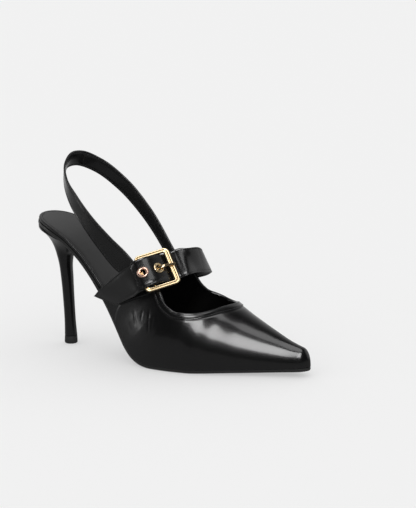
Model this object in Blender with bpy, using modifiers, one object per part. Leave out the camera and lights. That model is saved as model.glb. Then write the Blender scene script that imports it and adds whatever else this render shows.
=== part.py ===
"""Right slingback pump: pointed vamp, wrapped footbed, stiletto heel, sling strap and buckled instep strap.

X runs to the toe, Y to the inner side of the foot and Z up. The origin is the middle of the heel tip's flat
face, on the floor. Every size is in metres.
"""

import math

import bmesh
import bpy
import numpy as np

# Driving sizes of the shoe
LENGTH = 0.2433
HEEL_SETBACK = 0.0260
BALL_WIDTH = 0.0730
SEAT_WIDTH = 0.0490
SEAT_HEIGHT = 0.1040
TOE_SPRING = 0.0048
THROAT_HEIGHT = 0.0470
NOSE_ROUND = 0.0070
NOSE_HEIGHT_ROUND = 0.0055

# Thicknesses and clearances
SOLE = 0.0030
BOARD = 0.0028
WALL = 0.0016
GAP = 0.0003
COLLAR_STEP = 0.0007
COLLAR_WIDTH = 0.0062
VAMP_STEP = 0.0005
OVERHANG = 0.0008
PLATE_ROUND = 0.0006
BAND_EDGE = 0.00015
SEAM = 0.0004

# The last draws back by TOE_INSET at the toe, from the share TOE_FROM_SHARE of LENGTH on
TOE_INSET = 0.0018
TOE_FROM_SHARE = 0.85

# The insole in shares of LENGTH: it narrows to fit inside the upper, from a lead before the upper's rear and
# over a short way, and ends at the toe
INSOLE_LEAD_SHARE = 0.030
INSOLE_NARROWS_SHARE = 0.015
INSOLE_END_SHARE = 0.965

# The underside of the sole: at is a share of LENGTH from the seat's back edge, rise a share of SEAT_HEIGHT
# and spring a share of TOE_SPRING.
PROFILE = (
    ("at", "rise", "spring"),
    (0.000, 1.000, 0.0),
    (0.034, 0.980, 0.0),
    (0.074, 0.949, 0.0),
    (0.132, 0.882, 0.0),
    (0.177, 0.790, 0.0),
    (0.218, 0.671, 0.0),
    (0.267, 0.516, 0.0),
    (0.317, 0.352, 0.0),
    (0.358, 0.214, 0.0),
    (0.391, 0.114, 0.0),
    (0.424, 0.046, 0.0),
    (0.456, 0.012, 0.0),
    (0.492, 0.000, 0.0),
    (0.620, 0.000, 0.0),
    (0.724, 0.000, 0.22),
    (0.848, 0.000, 0.50),
    (0.950, 0.000, 0.78),
    (1.000, 0.000, 1.00),
)

# The sole's outline from the top: seat is a share of SEAT_WIDTH, ball and centre are shares of BALL_WIDTH.
# The half width is seat and ball together.
OUTLINE = (
    ("at", "seat", "ball", "centre"),
    (0.000, 0.500, 0.000, 0.000),
    (0.107, 0.500, 0.000, 0.000),
    (0.156, 0.470, 0.015, 0.000),
    (0.209, 0.350, 0.058, -0.005),
    (0.271, 0.190, 0.145, -0.029),
    (0.333, 0.080, 0.241, -0.062),
    (0.394, 0.020, 0.352, -0.077),
    (0.456, 0.000, 0.433, -0.057),
    (0.518, 0.000, 0.476, -0.031),
    (0.567, 0.000, 0.493, -0.007),
    (0.621, 0.000, 0.486, 0.012),
    (0.682, 0.000, 0.440, 0.029),
    (0.764, 0.000, 0.342, 0.041),
    (0.847, 0.000, 0.236, 0.047),
    (0.921, 0.000, 0.142, 0.050),
    (1.000, 0.000, 0.070, 0.060),
)

# Sections of the last over the sole. high is a share of THROAT_HEIGHT, lean the section's forward tilt in
# degrees, ridge the crest's place and bulge the sides' swell as shares of the half width, shoulder how full
# the side is under the crest.
LAST = (
    ("at", "high", "lean", "ridge", "bulge", "shoulder"),
    (0.228, 2.00, 52.0, 0.00, 0.40, 0.95),
    (0.288, 1.95, 50.0, 0.00, 0.40, 0.95),
    (0.349, 1.90, 45.0, 0.02, 0.34, 0.90),
    (0.410, 1.80, 38.0, 0.03, 0.26, 0.82),
    (0.471, 1.62, 31.0, 0.04, 0.20, 0.76),
    (0.543, 1.40, 23.0, 0.05, 0.16, 0.70),
    (0.624, 1.17, 14.0, 0.05, 0.13, 0.62),
    (0.695, 1.00, 7.0, 0.05, 0.12, 0.56),
    (0.776, 0.78, 3.0, 0.06, 0.10, 0.52),
    (0.858, 0.56, 1.0, 0.08, 0.08, 0.52),
    (0.929, 0.38, 0.0, 0.10, 0.06, 0.54),
    (1.000, 0.24, 0.0, 0.10, 0.04, 0.60),
)

# Strips of the upper. Each runs from the feather edge to the topline round the throat: foot is its start,
# from the outer side's rear over the toe, 1, to the inner side's rear, which is 2 less its at. turn runs over
# the last from the outer feather edge, 0, to the inner one, 1.
STRIPS = (
    ("foot", "at", "turn"),
    (0.288, 0.345, 0.215),
    (0.380, 0.390, 0.222),
    (0.435, 0.440, 0.242),
    (0.500, 0.505, 0.258),
    (0.545, 0.550, 0.273),
    (0.590, 0.590, 0.295),
    (0.650, 0.630, 0.335),
    (0.740, 0.665, 0.385),
    (0.860, 0.690, 0.440),
    (1.000, 0.702, 0.500),
    (1.140, 0.697, 0.560),
    (1.260, 0.682, 0.618),
    (1.350, 0.655, 0.664),
    (1.410, 0.612, 0.695),
    (1.455, 0.560, 0.710),
    (1.500, 0.503, 0.716),
    (1.565, 0.444, 0.724),
    (1.620, 0.394, 0.736),
    (1.712, 0.345, 0.745),
)
VAMP_BACK_SHARE = 0.305

# How the strips' points crowd to the feather edge: STRIP_POWER bends their line over the last, and toward the
# toe they crowd by TOE_CROWD, from a share of LENGTH on and over another
STRIP_POWER = 2.5
FULL_TURN_SHARE = 0.25
TOE_CROWD = 0.7
TOE_CROWD_FROM_SHARE = 0.6
TOE_CROWD_OVER_SHARE = 0.3
MOST_BAND_SHARE = 0.3

# The heel: level is a share of SEAT_HEIGHT, centre, long and wide are shares of HEEL_TIP. Its seat starts
# HEEL_INSET from the sole's back edge and ends at HEEL_BREAST. The stem flares into it along a curve whose
# middle point is the share HEEL_FLARE_SHARE of the way to the stem and HEEL_DROP below the seat.
HEEL_TIP = 0.0104
TOP_PIECE = 0.0062
HEEL_EDGE = 0.0018
HEEL_INSET = 0.0012
HEEL_BREAST = 0.0105
HEEL_SEAT_SHARE = 0.45
HEEL_SEAT_SQUARE = 0.8
HEEL_FLARE_SHARE = 0.72
HEEL_DROP = 0.008
HEEL_FLARE_SHARES = (0.14, 0.30, 0.50, 0.75)
HEEL = (
    ("level", "centre", "long", "wide"),
    (0.745, -0.400, 0.700, 0.800),
    (0.670, -0.360, 0.545, 0.660),
    (0.530, -0.250, 0.475, 0.560),
    (0.345, -0.140, 0.445, 0.485),
    (0.170, -0.050, 0.450, 0.470),
)

# The rings of the top piece: wide is a share of HEEL_TIP and level a share of TOP_PIECE
TOP_PIECE_RINGS = (
    ("wide", "level"),
    (1.02, 0.0),
    (1.04, 0.1),
    (1.00, 1.0),
)

# The buckle: its middle as shares of LENGTH, BALL_WIDTH and SEAT_HEIGHT, and its turns in degrees
BUCKLE_PLACE_SHARES = (0.3980, -0.368, 0.766)
BUCKLE_YAW = 46.5
BUCKLE_PITCH = 12.5
BUCKLE_ROLL = 38.0
BUCKLE_LONG = 0.0290
BUCKLE_HIGH = 0.0320
BUCKLE_CORNER = 0.0042
BUCKLE_BAR = 0.0034
BUCKLE_DEPTH = 0.0029
HINGE_RADIUS = 0.0009
HINGE_AT = -0.2034
# The far bar is wider by FAR_BAR_SHARE. The section is in shares of BUCKLE_BAR across and BUCKLE_DEPTH out.
FAR_BAR_SHARE = 0.30
FRAME_SECTION = (
    ("across", "out"),
    (-0.50, -0.50),
    (0.50, -0.50),
    (0.50, 0.28),
    (0.40, 0.50),
    (0.14, 0.50),
    (0.00, 0.28),
    (-0.14, 0.50),
    (-0.40, 0.50),
    (-0.50, 0.28),
)

# Straps
STRAP = 0.0018
STRAP_WIDTH = 0.0240
BELT_SHIFT = 0.0002
BASE_WIDTH = 0.0235
SLING_WIDTH = 0.0136
SLING = 0.0016
EYELET_HOLE = 0.0023
EYELET_RIM = 0.0044
EYELET_WALL = 0.0004
EYELET_HEIGHT = 0.0008
EYELET_SEAT = 0.00042
PRONG_WIDTH = 0.0018
PRONG_THICK = 0.0012
PRONG_BEVEL = 0.00025
SLOT_WIDTH = 0.0030
SLOT_AHEAD = 0.0030
SLOT_OVER = 0.0014

# Turns round the hinge bar in degrees, first and last
FOLD_TURNS = (-90, 130)
PRONG_TURNS = (15, -280)

# The fold of the base strap round the hinge bar, and how high the instep strap passes over it
FOLD = HINGE_RADIUS + GAP + STRAP / 2
INSTEP_CLEAR = 0.0005
INSTEP_RISE = FOLD + STRAP / 2 + INSTEP_CLEAR + STRAP / 2

# Strap and prong in the buckle's own directions: along from its middle as a share of BUCKLE_LONG, and out
# from its plane as a share of INSTEP_RISE
INSTEP_AT_BUCKLE = (
    ("along", "out"),
    (0.776, -0.066),
    (0.586, -0.435),
    (0.441, -0.699),
    (0.331, -0.521),
    (0.214, -0.092),
    (0.038, 0.501),
    (-0.097, 0.863),
    (-0.203, 1.002),
    (-0.314, 0.982),
    (-0.424, 0.811),
    (-0.510, 0.606),
    (-0.579, 0.224),
    (-0.650, -0.224),
)
PRONG_AT_BUCKLE = (
    ("along", "out"),
    (-0.110, 0.369),
    (-0.040, 0.461),
    (0.030, 0.659),
    (0.105, 0.910),
    (0.190, 1.041),
    (0.320, 0.844),
    (0.441, 0.606),
    (0.540, 0.514),
)
ENGAGED_AT = 0.026
SPARE_AT = -0.415

# The base strap on both sides of its fold, from the hinge bar's middle in shares of FOLD
BASE_AT_HINGE = (
    ("along", "out"),
    (-1.720, -0.690),
    (-2.272, -1.436),
    (-3.129, -1.768),
    (-4.510, -1.712),
    (-5.435, -2.016),
)
TAIL_AT_HINGE = (
    ("along", "out"),
    (-1.665, -2.720),
    (-1.099, -1.947),
    (-0.610, -1.305),
    (-0.310, -1.066),
)

# Free rows of the straps: long and level are shares of LENGTH and SEAT_HEIGHT, side is a share of the sole's
# half width there, from its centre line, lean is the tilt of the strap's width to the toe and tuck to the
# inside, in degrees, and wide a share of its width.
INSTEP_ROWS = (
    ("long", "side", "level", "lean", "tuck", "wide"),
    (0.219, 1.155, 0.436, -27, 0, 0.90),
    (0.253, 1.128, 0.489, -27, 1, 0.90),
    (0.286, 1.206, 0.540, -27, 4, 0.90),
    (0.322, 1.268, 0.590, -27, 8, 0.90),
    (0.387, 1.072, 0.655, -26, 12, 0.90),
    (0.448, 0.799, 0.712, -22, 16, 0.90),
    (0.484, 0.504, 0.765, -17, 18, 0.90),
    (0.488, 0.197, 0.800, -19, 6, 0.90),
    (0.476, -0.080, 0.813, -26, -4, 0.90),
)
BASE_ROWS = (
    ("long", "side", "level", "lean", "tuck", "wide"),
    (0.309, -1.118, 0.650, -46, 10, 0.99),
    (0.270, -1.178, 0.585, -61, 10, 0.98),
    (0.228, -1.189, 0.517, -74, 11, 1.02),
    (0.1995, -1.068, 0.467, -83, 15, 1.09),
)
SLING_ROWS = (
    ("long", "side", "level", "lean", "tuck", "wide"),
    (0.365, 0.927, 0.655, 45, 10, 0.80),
    (0.329, 1.116, 0.760, 48, 14, 0.80),
    (0.228, 1.663, 1.070, 50, 10, 0.92),
    (0.140, 1.517, 1.285, 46, 6, 1.00),
    (0.056, 0.991, 1.430, 36, 0, 1.00),
    (0.012, 0.567, 1.490, 24, -6, 1.00),
    (0.000, 0.089, 1.490, 19, 0, 1.00),
    (0.007, -0.328, 1.435, 24, -30, 1.00),
    (0.031, -0.660, 1.340, 34, -34, 1.00),
    (0.073, -0.944, 1.230, 42, -20, 1.00),
    (0.137, -1.298, 1.090, 43, -8, 1.00),
    (0.211, -1.229, 0.930, 42, 0, 1.16),
    (0.270, -0.958, 0.808, 42, 0, 1.32),
    (0.297, -0.846, 0.752, 44, 0, 1.20),
)
STRAP_STEP = 0.0050
STRAP_TURN = 14.0

UPPER_STEPS_ALONG = 72
UPPER_STEPS_DOWN = 12
TURN_WEIGHT = 0.020
SOLE_STEPS = 64
HEEL_SIDES = 24
EYELET_SIDES = 24
BAR_SIDES = 16
FOLD_STEPS = 16
PRONG_STEPS = 22
CORNER_STEPS = 6
LINE_SAMPLES = 1400
STRIP_SAMPLES = 160
SHARP_ANGLE = 35


def column(table, name):
    place = table[0].index(name)
    return np.array([row[place] for row in table[1:]], float)


def steady_slopes(x, y):
    """Slopes that keep a curve through the points free of overshoot."""
    step = np.diff(x)
    rise = np.diff(y) / step
    slopes = np.zeros(len(x))
    slopes[0], slopes[-1] = rise[0], rise[-1]
    for k in range(1, len(x) - 1):
        if rise[k - 1] * rise[k] > 0:
            before = 2 * step[k] + step[k - 1]
            after = step[k] + 2 * step[k - 1]
            slopes[k] = (before + after) / (before / rise[k - 1] + after / rise[k])
    return slopes


def curve_at(x, y, slopes, at):
    at = np.clip(at, x[0], x[-1])
    k = np.clip(np.searchsorted(x, at, side="right") - 1, 0, len(x) - 2)
    step = x[k + 1] - x[k]
    t = (at - x[k]) / step
    start = (1 + 2 * t) * (1 - t) ** 2 * y[k] + t * (1 - t) ** 2 * step * slopes[k]
    end = t * t * (3 - 2 * t) * y[k + 1] + t * t * (t - 1) * step * slopes[k + 1]
    return start + end


def smooth(table, name, at):
    """The table's column as a smooth curve over its column at."""
    x, y = column(table, "at"), column(table, name)
    return curve_at(x, y, steady_slopes(x, y), np.asarray(at, float))


def spline(points, count):
    """So many points, evenly spaced, on a smooth curve through the given ones."""
    points = np.asarray(points, float)
    chord = np.linalg.norm(np.diff(points, axis=0), axis=1)
    x = np.concatenate([[0.0], np.cumsum(chord)])
    slopes = np.gradient(points, x, axis=0)
    fine = np.linspace(0, x[-1], 40 * len(points))
    dense = np.stack([curve_at(x, points[:, k], slopes[:, k], fine) for k in range(points.shape[1])], axis=1)
    return evenly(dense, count)


def evenly(dense, count):
    """The same line with so many points, evenly spaced."""
    reach = np.concatenate([[0.0], np.cumsum(np.linalg.norm(np.diff(dense, axis=0), axis=1))])
    stops = np.linspace(0, reach[-1], count)
    return np.stack([np.interp(stops, reach, dense[:, k]) for k in range(dense.shape[1])], axis=1)


def sole_line(at):
    """X and Z of the sole's underside on its centre line."""
    rise = smooth(PROFILE, "rise", at) * SEAT_HEIGHT
    spring = smooth(PROFILE, "spring", at) * TOE_SPRING
    return np.asarray(at, float) * LENGTH - HEEL_SETBACK, rise + spring


def over_sole(at, lift):
    """X and Z of the line that lies this far over the sole's underside, square to it."""
    step = 1e-3
    x, z = sole_line(at)
    x0, z0 = sole_line(np.asarray(at) - step)
    x1, z1 = sole_line(np.asarray(at) + step)
    long = x1 - x0
    long = np.where(np.abs(long) < 1e-9, 1e-9, long)
    size = np.hypot(long, z1 - z0)
    return x - lift * (z1 - z0) / size, z + lift * long / size


def sole_up(at):
    """The direction square to the sole."""
    x, z = over_sole(at, 0.0)
    x1, z1 = over_sole(at, 1.0)
    return np.stack([x1 - x, np.zeros_like(x), z1 - z], axis=-1)


def nose_share(at, radius):
    """How far a size has grown from nothing at the toe's tip to all of it one radius behind."""
    behind = np.clip((1 - np.asarray(at, float)) * LENGTH / radius, 0, 1)
    return np.sqrt(1 - (1 - behind) ** 2)


def half_width(at):
    width = smooth(OUTLINE, "seat", at) * SEAT_WIDTH + smooth(OUTLINE, "ball", at) * BALL_WIDTH
    ahead = np.clip(np.asarray(at, float) * LENGTH / HEEL_SETBACK, 0, 1)
    return width * np.sqrt(1 - (1 - ahead) ** 2) * nose_share(at, NOSE_ROUND)


def centre_line(at):
    return smooth(OUTLINE, "centre", at) * BALL_WIDTH


def last_point(at, turn, lift=SOLE + GAP):
    """A point of the last: turn goes from the outer feather edge, 0, over the crest to the inner one, 1."""
    at, turn = np.broadcast_arrays(np.asarray(at, float), np.asarray(turn, float))
    half = half_width(at)
    back = np.clip((at - TOE_FROM_SHARE) / (1 - TOE_FROM_SHARE), 0, 1) ** 2 * TOE_INSET / LENGTH
    inset = np.minimum(WALL - OVERHANG, 0.5 * half)
    half = half - inset
    high = smooth(LAST, "high", at) * THROAT_HEIGHT * nose_share(at, NOSE_HEIGHT_ROUND)
    lean = np.radians(smooth(LAST, "lean", at))
    bulge = smooth(LAST, "bulge", at) * half
    shoulder = smooth(LAST, "shoulder", at) * half
    crest = smooth(LAST, "ridge", at) * half
    side = np.where(turn < 0.5, -1.0, 1.0)
    t = np.where(turn < 0.5, 2 * turn, 2 * (1 - turn))
    across = (
        (1 - t) ** 3 * side * half
        + 3 * t * (1 - t) ** 2 * side * (half + bulge)
        + 3 * t * t * (1 - t) * (crest + side * shoulder)
        + t**3 * crest
    )
    up = high * (3 * t * (1 - t) ** 2 * 0.5 + 3 * t * t * (1 - t) + t**3)
    x, z = over_sole(at - back, lift)
    return np.stack([x + up * np.sin(lean), centre_line(at) + across, z + up * np.cos(lean)], axis=-1)


def strip_lines():
    """The strips as rows of points on the last, from the topline down, and each strip's foot."""
    foot, top_at, top_turn = (column(STRIPS, name) for name in ("foot", "at", "turn"))
    knots = np.arange(len(foot), dtype=float)
    rows = np.stack([foot, top_at, top_turn], axis=1)
    slopes = np.stack([steady_slopes(knots, foot)] + [np.gradient(rows[:, k], knots) for k in (1, 2)], axis=1)
    dense = np.linspace(0, knots[-1], LINE_SAMPLES)
    lines = np.stack([curve_at(knots, rows[:, k], slopes[:, k], dense) for k in range(3)], axis=1)
    low = last_point(np.minimum(lines[:, 0], 2 - lines[:, 0]), np.where(lines[:, 0] < 1, 0.0, 1.0))
    high = last_point(lines[:, 1], lines[:, 2])
    moved = np.linalg.norm(np.diff(low, axis=0), axis=1)
    heading = np.unwrap(np.arctan2(*np.diff(low[:, :2], axis=0).T[::-1]))
    turned = np.abs(np.diff(heading, prepend=heading[0]))
    weight = moved + np.linalg.norm(np.diff(high, axis=0), axis=1) + TURN_WEIGHT * turned
    reach = np.concatenate([[0.0], np.cumsum(weight)])
    chosen = np.linspace(0, reach[-1], UPPER_STEPS_ALONG + 1)
    for end in (VAMP_BACK_SHARE, 2 - VAMP_BACK_SHARE):
        place = np.interp(end, lines[:, 0], reach)
        near = np.argsort(np.abs(chosen - place))[:2]
        chosen[min(near)], chosen[max(near)] = place - SEAM / 2, place + SEAM / 2
    feet, ats, turns = (np.interp(chosen, reach, lines[:, k]) for k in range(3))
    return feet, ats, turns


def strip_points(foot, top_at, top_turn):
    """Points of one strip from the topline down to the feather edge."""
    start = 0.0 if foot < 1 else 1.0
    at_foot = min(foot, 2 - foot)
    power = min(1.0, math.sqrt(max(1 - at_foot, 0) / FULL_TURN_SHARE))
    s = np.linspace(0, 1, STRIP_SAMPLES) ** STRIP_POWER
    turns = start + (top_turn - start) * (s**power if power > 0 else np.ones_like(s))
    line = last_point(at_foot + (top_at - at_foot) * s, turns)[::-1]
    reach = np.concatenate([[0.0], np.cumsum(np.linalg.norm(np.diff(line, axis=0), axis=1))])
    crowd = 1 + TOE_CROWD * min(max((at_foot - TOE_CROWD_FROM_SHARE) / TOE_CROWD_OVER_SHARE, 0), 1)
    return np.stack([np.interp(strip_stops(reach[-1], crowd), reach, line[:, k]) for k in range(3)], axis=1)


def strip_stops(total, crowd):
    """The topline, both edges of the collar band's step, and steps that crowd towards the feather edge."""
    band = min(COLLAR_WIDTH, MOST_BAND_SHARE * total)
    rest = total - (total - band - BAND_EDGE) * np.linspace(1, 0, UPPER_STEPS_DOWN) ** crowd
    return np.concatenate([[0.0, band - BAND_EDGE], rest])


def grid_normals(grid):
    normal = -np.cross(np.gradient(grid, axis=0), np.gradient(grid, axis=1))
    return normal / np.linalg.norm(normal, axis=-1, keepdims=True)


def wall_surfaces():
    """The upper's inner and outer faces, as rows of strips."""
    feet, ats, turns = strip_lines()
    inner = np.stack([strip_points(f, a, t) for f, a, t in zip(feet, ats, turns)])
    thick = np.full(inner.shape[:2], WALL)
    thick[:, :2] += COLLAR_STEP
    vamp = (feet > VAMP_BACK_SHARE) & (feet < 2 - VAMP_BACK_SHARE)
    thick[vamp] += VAMP_STEP
    normals = grid_normals(inner)
    # The wall's foot stays in the sole's top face
    up = sole_up(np.minimum(feet, 2 - feet))
    foot = normals[:, -1] - (normals[:, -1] * up).sum(axis=1)[:, None] * up
    normals[:, -1] = foot / np.linalg.norm(foot, axis=1)[:, None]
    return inner, inner + normals * thick[..., None]


def clear_scene():
    for obj in list(bpy.data.objects):
        bpy.data.objects.remove(obj, do_unlink=True)


def new_collection(name):
    made = bpy.data.collections.new(name)
    bpy.context.scene.collection.children.link(made)
    return made


def finish(name, colour, roughness, metallic):
    made = bpy.data.materials.new(name)
    made.use_nodes = True
    shader = made.node_tree.nodes["Principled BSDF"]
    shader.inputs["Base Color"].default_value = (*colour, 1.0)
    shader.inputs["Roughness"].default_value = roughness
    shader.inputs["Metallic"].default_value = metallic
    made.diffuse_color = (*colour, 1.0)
    return made


def solid(name, points, faces, material):
    """One object of these points and faces, its faces turned outwards."""
    mesh = bpy.data.meshes.new(name)
    mesh.from_pydata([tuple(map(float, point)) for point in points], [], [tuple(map(int, f)) for f in faces])
    shape = bmesh.new()
    shape.from_mesh(mesh)
    bmesh.ops.recalc_face_normals(shape, faces=shape.faces)
    shape.to_mesh(mesh)
    shape.free()
    mesh.shade_smooth()
    mesh.set_sharp_from_angle(angle=math.radians(SHARP_ANGLE))
    mesh.materials.append(material)
    obj = bpy.data.objects.new(name, mesh)
    PARTS.objects.link(obj)
    return obj


def quads(rows, columns, first=0, closed=False):
    """Faces between neighbouring rows of points, each row closed round if asked."""
    across = columns if closed else columns - 1
    return [
        (
            first + i * columns + j,
            first + i * columns + (j + 1) % columns,
            first + (i + 1) * columns + (j + 1) % columns,
            first + (i + 1) * columns + j,
        )
        for i in range(rows - 1)
        for j in range(across)
    ]


def loft(name, rings, material):
    """A closed solid through rings of equal counts, with a flat cap at each end."""
    rings = np.asarray(rings, float)
    rows, columns = rings.shape[:2]
    last = (rows - 1) * columns
    caps = [tuple(range(columns)), tuple(range(last, last + columns))]
    return solid(name, rings.reshape(-1, 3), quads(rows, columns, closed=True) + caps, material)


def loop(name, rings, material):
    """A closed solid through rings that come back to the first one."""
    rings = np.asarray(rings, float)
    rows, columns = rings.shape[:2]
    faces = [
        (i * columns + j, i * columns + (j + 1) % columns, k * columns + (j + 1) % columns, k * columns + j)
        for i, k in ((i, (i + 1) % rows) for i in range(rows))
        for j in range(columns)
    ]
    return solid(name, rings.reshape(-1, 3), faces, material)


def shell(name, inner, outer, material):
    """A wall between two surfaces of equal rows and columns, closed along all its edges."""
    rows, columns = inner.shape[:2]
    count = rows * columns
    faces = quads(rows, columns) + quads(rows, columns, count)
    edge = [j for j in range(columns)]
    edge += [i * columns + columns - 1 for i in range(1, rows)]
    edge += [(rows - 1) * columns + j for j in range(columns - 2, -1, -1)]
    edge += [i * columns for i in range(rows - 2, 0, -1)]
    faces += [(a, b, b + count, a + count) for a, b in zip(edge, edge[1:] + edge[:1])]
    return solid(name, np.concatenate([inner.reshape(-1, 3), outer.reshape(-1, 3)]), faces, material)


def plate_rings(ats, halves, low, high, round_off):
    """Rings of a plate that follows the sole, its lower corners taken off."""
    rings = []
    for at, half in zip(ats, halves):
        middle = centre_line(at)
        ring = []
        for side, lift in (
            (-1.0, high),
            (1.0, high),
            (1.0, low + round_off),
            (1.0, low),
            (-1.0, low),
            (-1.0, low + round_off),
        ):
            reach = half - (min(round_off, 0.4 * half) if lift == low else 0.0)
            x, z = over_sole(at, lift)
            ring.append((x, middle + side * reach, z))
        rings.append(ring)
    return rings


def end_spacing(first, last, count):
    """Places that crowd towards both ends."""
    ends = np.array([0.15, 0.5]) / count
    share = np.concatenate([ends, np.arange(1, count) / count, 1 - ends[::-1]])
    return first + (last - first) * 0.5 * (share + 0.5 * (1 - np.cos(math.pi * share)))


def make_outsole(material):
    ats = end_spacing(0.0, 1.0, SOLE_STEPS)
    return loft("outsole", plate_rings(ats, half_width(ats), 0.0, SOLE, PLATE_ROUND), material)


def make_insole(material):
    ats = end_spacing(0.0, 1.0, SOLE_STEPS)
    ats = ats[ats < INSOLE_END_SHARE]
    inside = half_width(ats) - (WALL - OVERHANG) - 2 * GAP
    start = column(STRIPS, "foot")[0] - INSOLE_LEAD_SHARE
    share = np.clip((ats - start) / INSOLE_NARROWS_SHARE, 0, 1)
    halves = half_width(ats) * (1 - share) + inside * share
    low = SOLE + GAP
    return loft("insole", plate_rings(ats, halves, low, low + BOARD, PLATE_ROUND), material)


def make_upper(material):
    inner, outer = wall_surfaces()
    return shell("upper", inner, outer, material)


def oval(centre, long, wide, squareness_front=1.0):
    """A ring of points round an oval in plan, its front half squarer if asked."""
    angles = np.linspace(0, 2 * math.pi, HEEL_SIDES, endpoint=False)
    x, y = np.cos(angles), np.sin(angles)
    power = np.where(x > 0, squareness_front, 1.0)
    along, across = np.sign(x) * np.abs(x) ** power, np.sign(y) * np.abs(y) ** power
    return np.stack([centre + long * along, wide * across], axis=1)


def make_heel(material):
    back = HEEL_INSET - HEEL_SETBACK
    long = (HEEL_BREAST - back) / 2
    seat = oval(back + long, long, HEEL_SEAT_SHARE * SEAT_WIDTH, HEEL_SEAT_SQUARE)
    seat_x, seat_z = over_sole((seat[:, 0] + HEEL_SETBACK) / LENGTH, -GAP)
    top = np.stack([seat_x, seat[:, 1], seat_z], axis=1)
    levels = column(HEEL, "level") * SEAT_HEIGHT
    stems = []
    for k, level in enumerate(levels):
        centre, long, wide = (column(HEEL, name)[k] * HEEL_TIP for name in ("centre", "long", "wide"))
        ring = oval(centre, long, wide)
        stems.append(np.column_stack([ring, np.full(len(ring), level)]))
    ring = oval(0.0, HEEL_TIP / 2, HEEL_TIP / 2)
    stems.append(np.column_stack([ring, np.full(len(ring), TOP_PIECE + GAP)]))
    edge = top - np.array([0, 0, HEEL_EDGE])
    corner = HEEL_FLARE_SHARE * stems[0] + (1 - HEEL_FLARE_SHARE) * edge
    corner[:, 2] = edge[:, 2] - HEEL_DROP
    rings = [top, edge]
    for share in HEEL_FLARE_SHARES:
        rings.append((1 - share) ** 2 * edge + 2 * share * (1 - share) * corner + share**2 * stems[0])
    return loft("heel", rings + stems, material)


def make_top_piece(material):
    rings = []
    for wide, level in TOP_PIECE_RINGS[1:]:
        ring = oval(0.0, wide * HEEL_TIP / 2, wide * HEEL_TIP / 2)
        rings.append(np.column_stack([ring, np.full(len(ring), level * TOP_PIECE)]))
    return loft("top_piece", rings, material)


def unit(vector):
    vector = np.asarray(vector, float)
    return vector / np.linalg.norm(vector)


def width_direction(lean, tuck, side):
    lean, tuck = math.radians(lean), math.radians(tuck)
    level = math.cos(tuck)
    return np.array([math.sin(lean) * level, -side * math.sin(tuck), math.cos(lean) * level])


def buckle_directions():
    """The buckle's own directions: along to its far bar, up its bars, and out of its plane."""
    yaw, pitch, roll = (math.radians(angle) for angle in (BUCKLE_YAW, BUCKLE_PITCH, BUCKLE_ROLL))
    along = np.array([math.cos(pitch) * math.cos(yaw), math.cos(pitch) * math.sin(yaw), math.sin(pitch)])
    level_up = unit(np.array([0.0, 0.0, 1.0]) - along * along[2])
    up = math.cos(roll) * level_up - math.sin(roll) * np.cross(along, level_up)
    return along, up, np.cross(along, up)


def buckle_points(along, up, out):
    """Places given in the buckle's own directions, in metres from its middle."""
    middle = np.array(BUCKLE_PLACE_SHARES) * (LENGTH, BALL_WIDTH, SEAT_HEIGHT)
    directions = buckle_directions()
    values = np.broadcast_arrays(along, up, out)
    return middle + sum(np.asarray(v, float)[..., None] * d for v, d in zip(values, directions))


def hinge_shift():
    """The hinge bar's place along the buckle, from its middle."""
    return HINGE_AT * BUCKLE_LONG


def free_rows(table, width):
    """Middles and half-width vectors of a strap's free rows."""
    rows = []
    for long, side, level, lean, tuck, wide in table[1:]:
        at = long + HEEL_SETBACK / LENGTH
        half = width_direction(lean, tuck, 1 if side > 0 else -1) * wide * width / 2
        rows.append((long * LENGTH, centre_line(at) + side * half_width(at), level * SEAT_HEIGHT, *half))
    return np.array(rows)


def rows_at_buckle(along, out, width):
    middles = buckle_points(along, BELT_SHIFT, out)
    half = buckle_directions()[1] * width / 2
    return np.concatenate([middles, np.broadcast_to(half, middles.shape)], axis=1)


def table_at_buckle(table, width):
    return rows_at_buckle(column(table, "along") * BUCKLE_LONG, column(table, "out") * INSTEP_RISE, width)


def table_at_hinge(table, width):
    return rows_at_buckle(hinge_shift() + column(table, "along") * FOLD, column(table, "out") * FOLD, width)


def by_bend(dense):
    """The same line with points that crowd where it bends."""
    step = np.diff(dense[:, :3], axis=0)
    size = np.linalg.norm(step, axis=1)
    heading = step / size[:, None]
    turned = np.degrees(np.arccos(np.clip((heading[1:] * heading[:-1]).sum(axis=1), -1, 1)))
    weight = size / STRAP_STEP + np.concatenate([[0.0], turned]) / STRAP_TURN
    reach = np.concatenate([[0.0], np.cumsum(weight)])
    stops = np.linspace(0, reach[-1], math.ceil(reach[-1]) + 1)
    return np.stack([np.interp(stops, reach, dense[:, k]) for k in range(dense.shape[1])], axis=1)


def instep_line():
    """The instep strap from the inner side to its free end."""
    free = free_rows(INSTEP_ROWS, STRAP_WIDTH)
    fastened = table_at_buckle(INSTEP_AT_BUCKLE, STRAP_WIDTH)
    return spline(np.concatenate([free, fastened]), LINE_SAMPLES)


def base_line():
    """The base strap from its tail under the hinge bar, round the bar and down to the feather edge."""
    angles = np.radians(np.linspace(*FOLD_TURNS, FOLD_STEPS))
    loop_rows = rows_at_buckle(hinge_shift() + FOLD * np.cos(angles), FOLD * np.sin(angles), BASE_WIDTH)
    tail = table_at_hinge(TAIL_AT_HINGE, BASE_WIDTH)
    rise = table_at_hinge(BASE_AT_HINGE, BASE_WIDTH)
    free = free_rows(BASE_ROWS, BASE_WIDTH)
    return spline(np.concatenate([tail, loop_rows, rise, free]), LINE_SAMPLES)


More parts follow.
